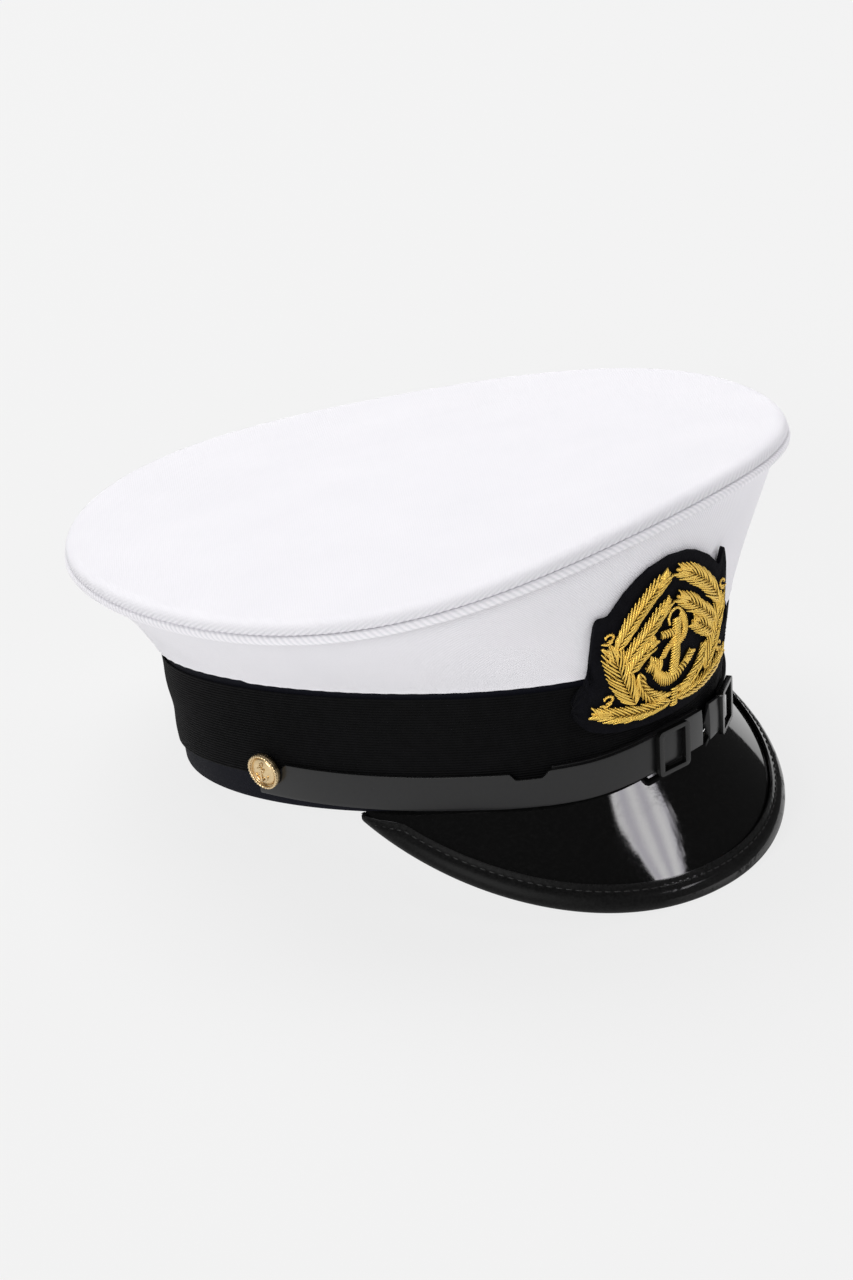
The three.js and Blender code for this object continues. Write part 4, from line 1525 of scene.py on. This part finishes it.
def leaf_runs(leaf, mirror, chance):
    """Slanting threads from the midrib out to both edges of a leaf."""
    start, tip, bow, width = leaf
    pitch = hat().badge.thread_pitch / MM
    padding = hat().badge.padding / MM
    long = math.dist(start, tip)
    slant = min(0.4, 0.95 * width / long)
    step = pitch / long / math.sin(math.atan2(width / 2, slant * long))
    shares = np.arange(-slant * 0.6, 0.97, step)
    steps = np.linspace(0, 1, THREAD_RINGS)
    runs = []
    for side in (-1, 1):
        shift = step / 2 if side > 0 else 0.0
        ends = np.clip(shares + shift + slant, 0.02, 1.04)
        roots = np.clip(shares + shift, 0.0, 0.985)
        root, aside = midrib(start, tip, bow, roots)
        end, _ = midrib(start, tip, bow, ends)
        reach = leaf_half(width, np.clip(ends, 0, 1)) * (1 + chance.uniform(-0.09, 0.12, len(ends)))
        end = end + aside * (side * reach)[:, None]
        root = root + aside * side * 0.12
        path = between(root, end, steps)
        sag = aside * side * 0.1 * width
        path = path + sag * (np.sin(math.pi * steps) * 0.35)[None, :, None]
        scale = np.clip(reach / (0.5 * width), 0.45, 1.05)
        rise = 0.4 + padding * scale[:, None] * np.sin(math.pi * (0.36 + 0.58 * steps))[None, :]
        rise = rise + chance.uniform(-0.12, 0.12, len(ends))[:, None]
        runs.append(lay(path, rise, mirror))
    for beside in (-0.4, -0.14, 0.14, 0.4):
        rib, aside = midrib(start, tip, bow, 0.78 + (0.26 - 0.12 * abs(beside)) * steps)
        path = rib + aside * (beside * width / 2 * (1 - 0.55 * steps))[:, None]
        rise = 0.5 + padding * 0.65 * np.sin(math.pi * (0.4 + 0.55 * steps))
        runs.append(lay(path, rise, mirror)[None])
    return np.concatenate(runs)


def core_runs(stroke, half, mirror=1):
    """Padding laid along a leaf or stroke under its threads; half gives half its width along the way."""
    start, tip, bow, width = stroke
    shares = np.linspace(0.04, 0.94, THREAD_RINGS)
    rib, aside = midrib(start, tip, bow, shares)
    rows = [rib + aside * (half(width, shares) * beside)[:, None] for beside in (-0.6, -0.2, 0.2, 0.6)]
    return lay(np.stack(rows), 0.2, mirror)


def satin_runs(stroke, mirror, chance, slant=0.5):
    """Threads laid side by side across a stroke."""
    start, tip, bow, width = stroke
    pitch = hat().badge.thread_pitch / MM
    long = math.dist(start, tip)
    lean = slant * width / long
    shares = np.linspace(0, 1, max(3, round(long / pitch)))
    steps = np.linspace(0, 1, THREAD_RINGS)
    low, aside = midrib(start, tip, bow, np.clip(shares - lean / 2, 0, 1))
    high, _ = midrib(start, tip, bow, np.clip(shares + lean / 2, 0, 1))
    half = width / 2 * (1 + chance.uniform(-0.06, 0.06, len(shares)))[:, None]
    path = between(low - aside * half, high + aside * half, steps)
    rise = 0.4 + 0.62 * hat().badge.padding / MM * np.sin(math.pi * (0.08 + 0.84 * steps))
    return lay(path, rise, mirror)


def cord_runs(points, half, mirror=1):
    """Short slanting threads along a line, so that it looks like a twisted cord of that half width."""
    points = np.array(points, float)

    def on_line(stations, run, line):
        return stack(*(np.interp(stations, run, line[:, axis]) for axis in (0, 1)))

    rough = arc_lengths(points)
    line = on_line(np.linspace(0, rough[-1], 60), rough, points)
    for _ in range(6):
        line[1:-1] = (line[:-2] + line[1:-1] * 2 + line[2:]) / 4
    run = arc_lengths(line)
    starts = np.arange(0, run[-1], CORD_PITCH)
    steps = np.linspace(0, 1, THREAD_RINGS)
    stations = np.clip(starts[:, None] + (steps - 0.5)[None, :] * CORD_PITCH * 2.2, 0, run[-1])
    heading = on_line(stations + 0.05, run, line) - on_line(stations - 0.05, run, line) + 1e-9
    aside = unit(stack(heading[..., 1], -heading[..., 0]))
    path = on_line(stations, run, line) + aside * ((steps - 0.5) * 2 * half)[None, :, None]
    return lay(path, 0.75 + 0.35 * np.sin(math.pi * steps), mirror)


def knot_runs(x, y, mirror):
    """A loop of fine cord and its loose end."""
    turns = np.linspace(0, 5.2, 12)
    loop = stack(x + 1.5 * np.cos(turns), y + 1.2 * np.sin(turns))
    end = ((x - 1, y - 1.6), (x + 0.6, y - 2.4), (x + 2.6, y - 1.4))
    return np.concatenate([cord_runs(points, KNOT_THICK, mirror) for points in (loop, end)])


def sew_bullion(name, runs, radius):
    s = hat().badge
    across, up, rise = np.moveaxis(np.concatenate(runs) * MM, -1, 0)
    floor = s.over + s.thickness + GAP
    points = at_rest(on_badge(across, up, floor + rise))
    tops = unit(at_rest(on_badge(across, up, floor + rise + MM)) - points)
    return sew_threads(name, points, tops, radius, 0.6)


class HAT_OT_wreath(bpy.types.Operator):
    """Two branches of bullion leaves, with their tie and knots"""
    bl_idname = "captain_hat.wreath"
    bl_label = "Wreath"

    def execute(self, context):
        s = hat().badge
        chance = np.random.default_rng(SEED)
        for side, mirror in (("right", -1), ("left", 1)):
            name = f"wreath_{side}"
            runs = [leaf_runs(leaf, mirror, chance) for leaf in LEAVES]
            if side == "left":
                runs.append(satin_runs(TIE, mirror, chance, 0.2))
            leaves = sew_bullion(name, runs, s.thread_radius)
            loops = [knot_runs(*place, mirror) for place in KNOTS]
            knots = sew_bullion("knots", loops, s.thread_radius * KNOT_THREAD)
            padding = [core_runs(leaf, leaf_half, mirror) for leaf in LEAVES]
            cores = sew_bullion("cores", padding, s.padding * CORE_SHARE)
            piece = join([leaves, knots, cores], name)
            dress(piece, gold_bullion(), name)
        return {"FINISHED"}


class HAT_OT_badge_anchor(bpy.types.Operator):
    """Bullion anchor with its cable"""
    bl_idname = "captain_hat.badge_anchor"
    bl_label = "Badge anchor"

    def execute(self, context):
        s = hat().badge
        chance = np.random.default_rng(SEED)
        strokes = [satin_runs(stroke, 1, chance) for stroke in ANCHOR]
        satin = sew_bullion("satin", strokes, s.thread_radius)
        ropes = [cord_runs(points, half) for half, points in ANCHOR_CORDS]
        cords = sew_bullion("cords", ropes, s.thread_radius * CORD_THREAD)
        padding = [core_runs(stroke, even_half) for stroke in ANCHOR]
        cores = sew_bullion("cores", padding, s.padding * CORE_SHARE)
        piece = join([satin, cords, cores], "badge_anchor")
        dress(piece, gold_bullion(), "badge_anchor")
        return {"FINISHED"}


class HAT_OT_stage(bpy.types.Operator):
    """Pale floor, soft lights and the camera"""
    bl_idname = "captain_hat.stage"
    bl_label = "Stage"

    # The card that the peak mirrors. Its lower and upper edges are half width, middle and height in metres.
    CARD_PLACE = (0.505, -0.957, 1.03)
    CARD_AIM = (-0.02, -0.12, 0.02)
    CARD_ROLL = -0.539
    CARD_LOW = (0.12, 0.04, -0.4)
    CARD_HIGH = (0.385, -0.032, -0.09)

    def card(self):
        place, aim = Vector(self.CARD_PLACE), Vector(self.CARD_AIM)
        turn = (aim - place).to_track_quat("-Z", "Y") @ Quaternion((0, 0, 1), self.CARD_ROLL)
        piece = flat_grid("front_card", 16, 8)
        u, v, _ = points_of(piece).T
        weave_map(piece, stack(u, v))
        half, middle, height = (np.interp(v, (0, 1), pair) for pair in zip(self.CARD_LOW, self.CARD_HIGH))
        flat = stack(middle + (2 * u - 1) * half, height, 0)
        set_points(piece, flat @ np.array(turn.to_matrix()).T + np.array(place))
        piece.data.materials.append(front_light())
        piece.visible_camera = False

    def softbox(self, name, place, aim, width, height, power):
        bpy.ops.object.light_add(type="AREA", location=place)
        light = bpy.context.object
        light.name = name
        light.data.shape = "RECTANGLE"
        light.data.size = width
        light.data.size_y = height
        light.data.energy = power
        light.rotation_euler = (Vector(aim) - Vector(place)).to_track_quat("-Z", "Y").to_euler()
        return light

    def execute(self, context):
        s = hat().stage
        scene = context.scene
        floor = add(bpy.ops.mesh.primitive_plane_add, "floor", size=s.floor_size)
        floor.data.materials.append(pale_floor())

        world = bpy.data.worlds.new("surroundings")
        world.use_nodes = True
        back = world.node_tree.nodes["Background"]
        back.inputs["Color"].default_value = (1, 1, 1, 1)
        back.inputs["Strength"].default_value = s.sky
        scene.world = world

        self.softbox("top", (0.25, 1.1, 1.9), (0, 0, 0.1), 1.6, 1.6, s.top_power)
        self.card()
        self.softbox("left", (-2.25, -0.75, 1.2), (0, 0, 0.08), 1.2, 0.9, s.left_power)
        self.softbox("near", (-1.5, -1.6, 1.0), (0, 0, 0.08), 0.7, 0.5, s.near_power)
        fill = self.softbox("right", (2.1, -0.6, 0.5), (0, 0, 0.08), 0.8, 0.6, s.right_power)
        fill.visible_glossy = False

        bpy.ops.object.camera_add(location=s.camera_place, rotation=s.camera_turn)
        camera = context.object
        camera.name = "camera"
        camera.data.lens = s.lens
        scene.camera = camera
        scene.view_settings.view_transform = "Standard"
        scene.view_settings.look = "None"
        return {"FINISHED"}


class HAT_PT_panel(bpy.types.Panel):
    """Lists the hat's pieces in the order in which they are made"""
    bl_label = "Captain hat"
    bl_idname = "HAT_PT_panel"
    bl_space_type = "VIEW_3D"
    bl_region_type = "UI"
    bl_category = "Captain hat"

    def draw(self, context):
        for maker in MAKERS:
            self.layout.operator(maker.bl_idname)


GROUPS = (BandSizes, CrownSizes, PeakSizes, StrapSizes, BadgeSizes, Colours, StageSizes, CaptainHat)
MAKERS = (
    HAT_OT_stage, HAT_OT_band, HAT_OT_ribbon, HAT_OT_crown_side, HAT_OT_crown_top, HAT_OT_crown_piping,
    HAT_OT_peak, HAT_OT_binding, HAT_OT_straps, HAT_OT_slides, HAT_OT_buttons, HAT_OT_patch,
    HAT_OT_wreath, HAT_OT_badge_anchor,
)


def register():
    for kind in (*GROUPS, *MAKERS, HAT_PT_panel):
        bpy.utils.register_class(kind)
    bpy.types.Scene.captain_hat = PointerProperty(
        type=CaptainHat, name="Captain hat", description="Sizes of the hat")


def unregister():
    del bpy.types.Scene.captain_hat
    for kind in reversed((*GROUPS, *MAKERS, HAT_PT_panel)):
        bpy.utils.unregister_class(kind)


def main():
    register()
    for maker in MAKERS:
        _, action = maker.bl_idname.split(".")
        getattr(bpy.ops.captain_hat, action)()


if __name__ == "__main__":
    main()
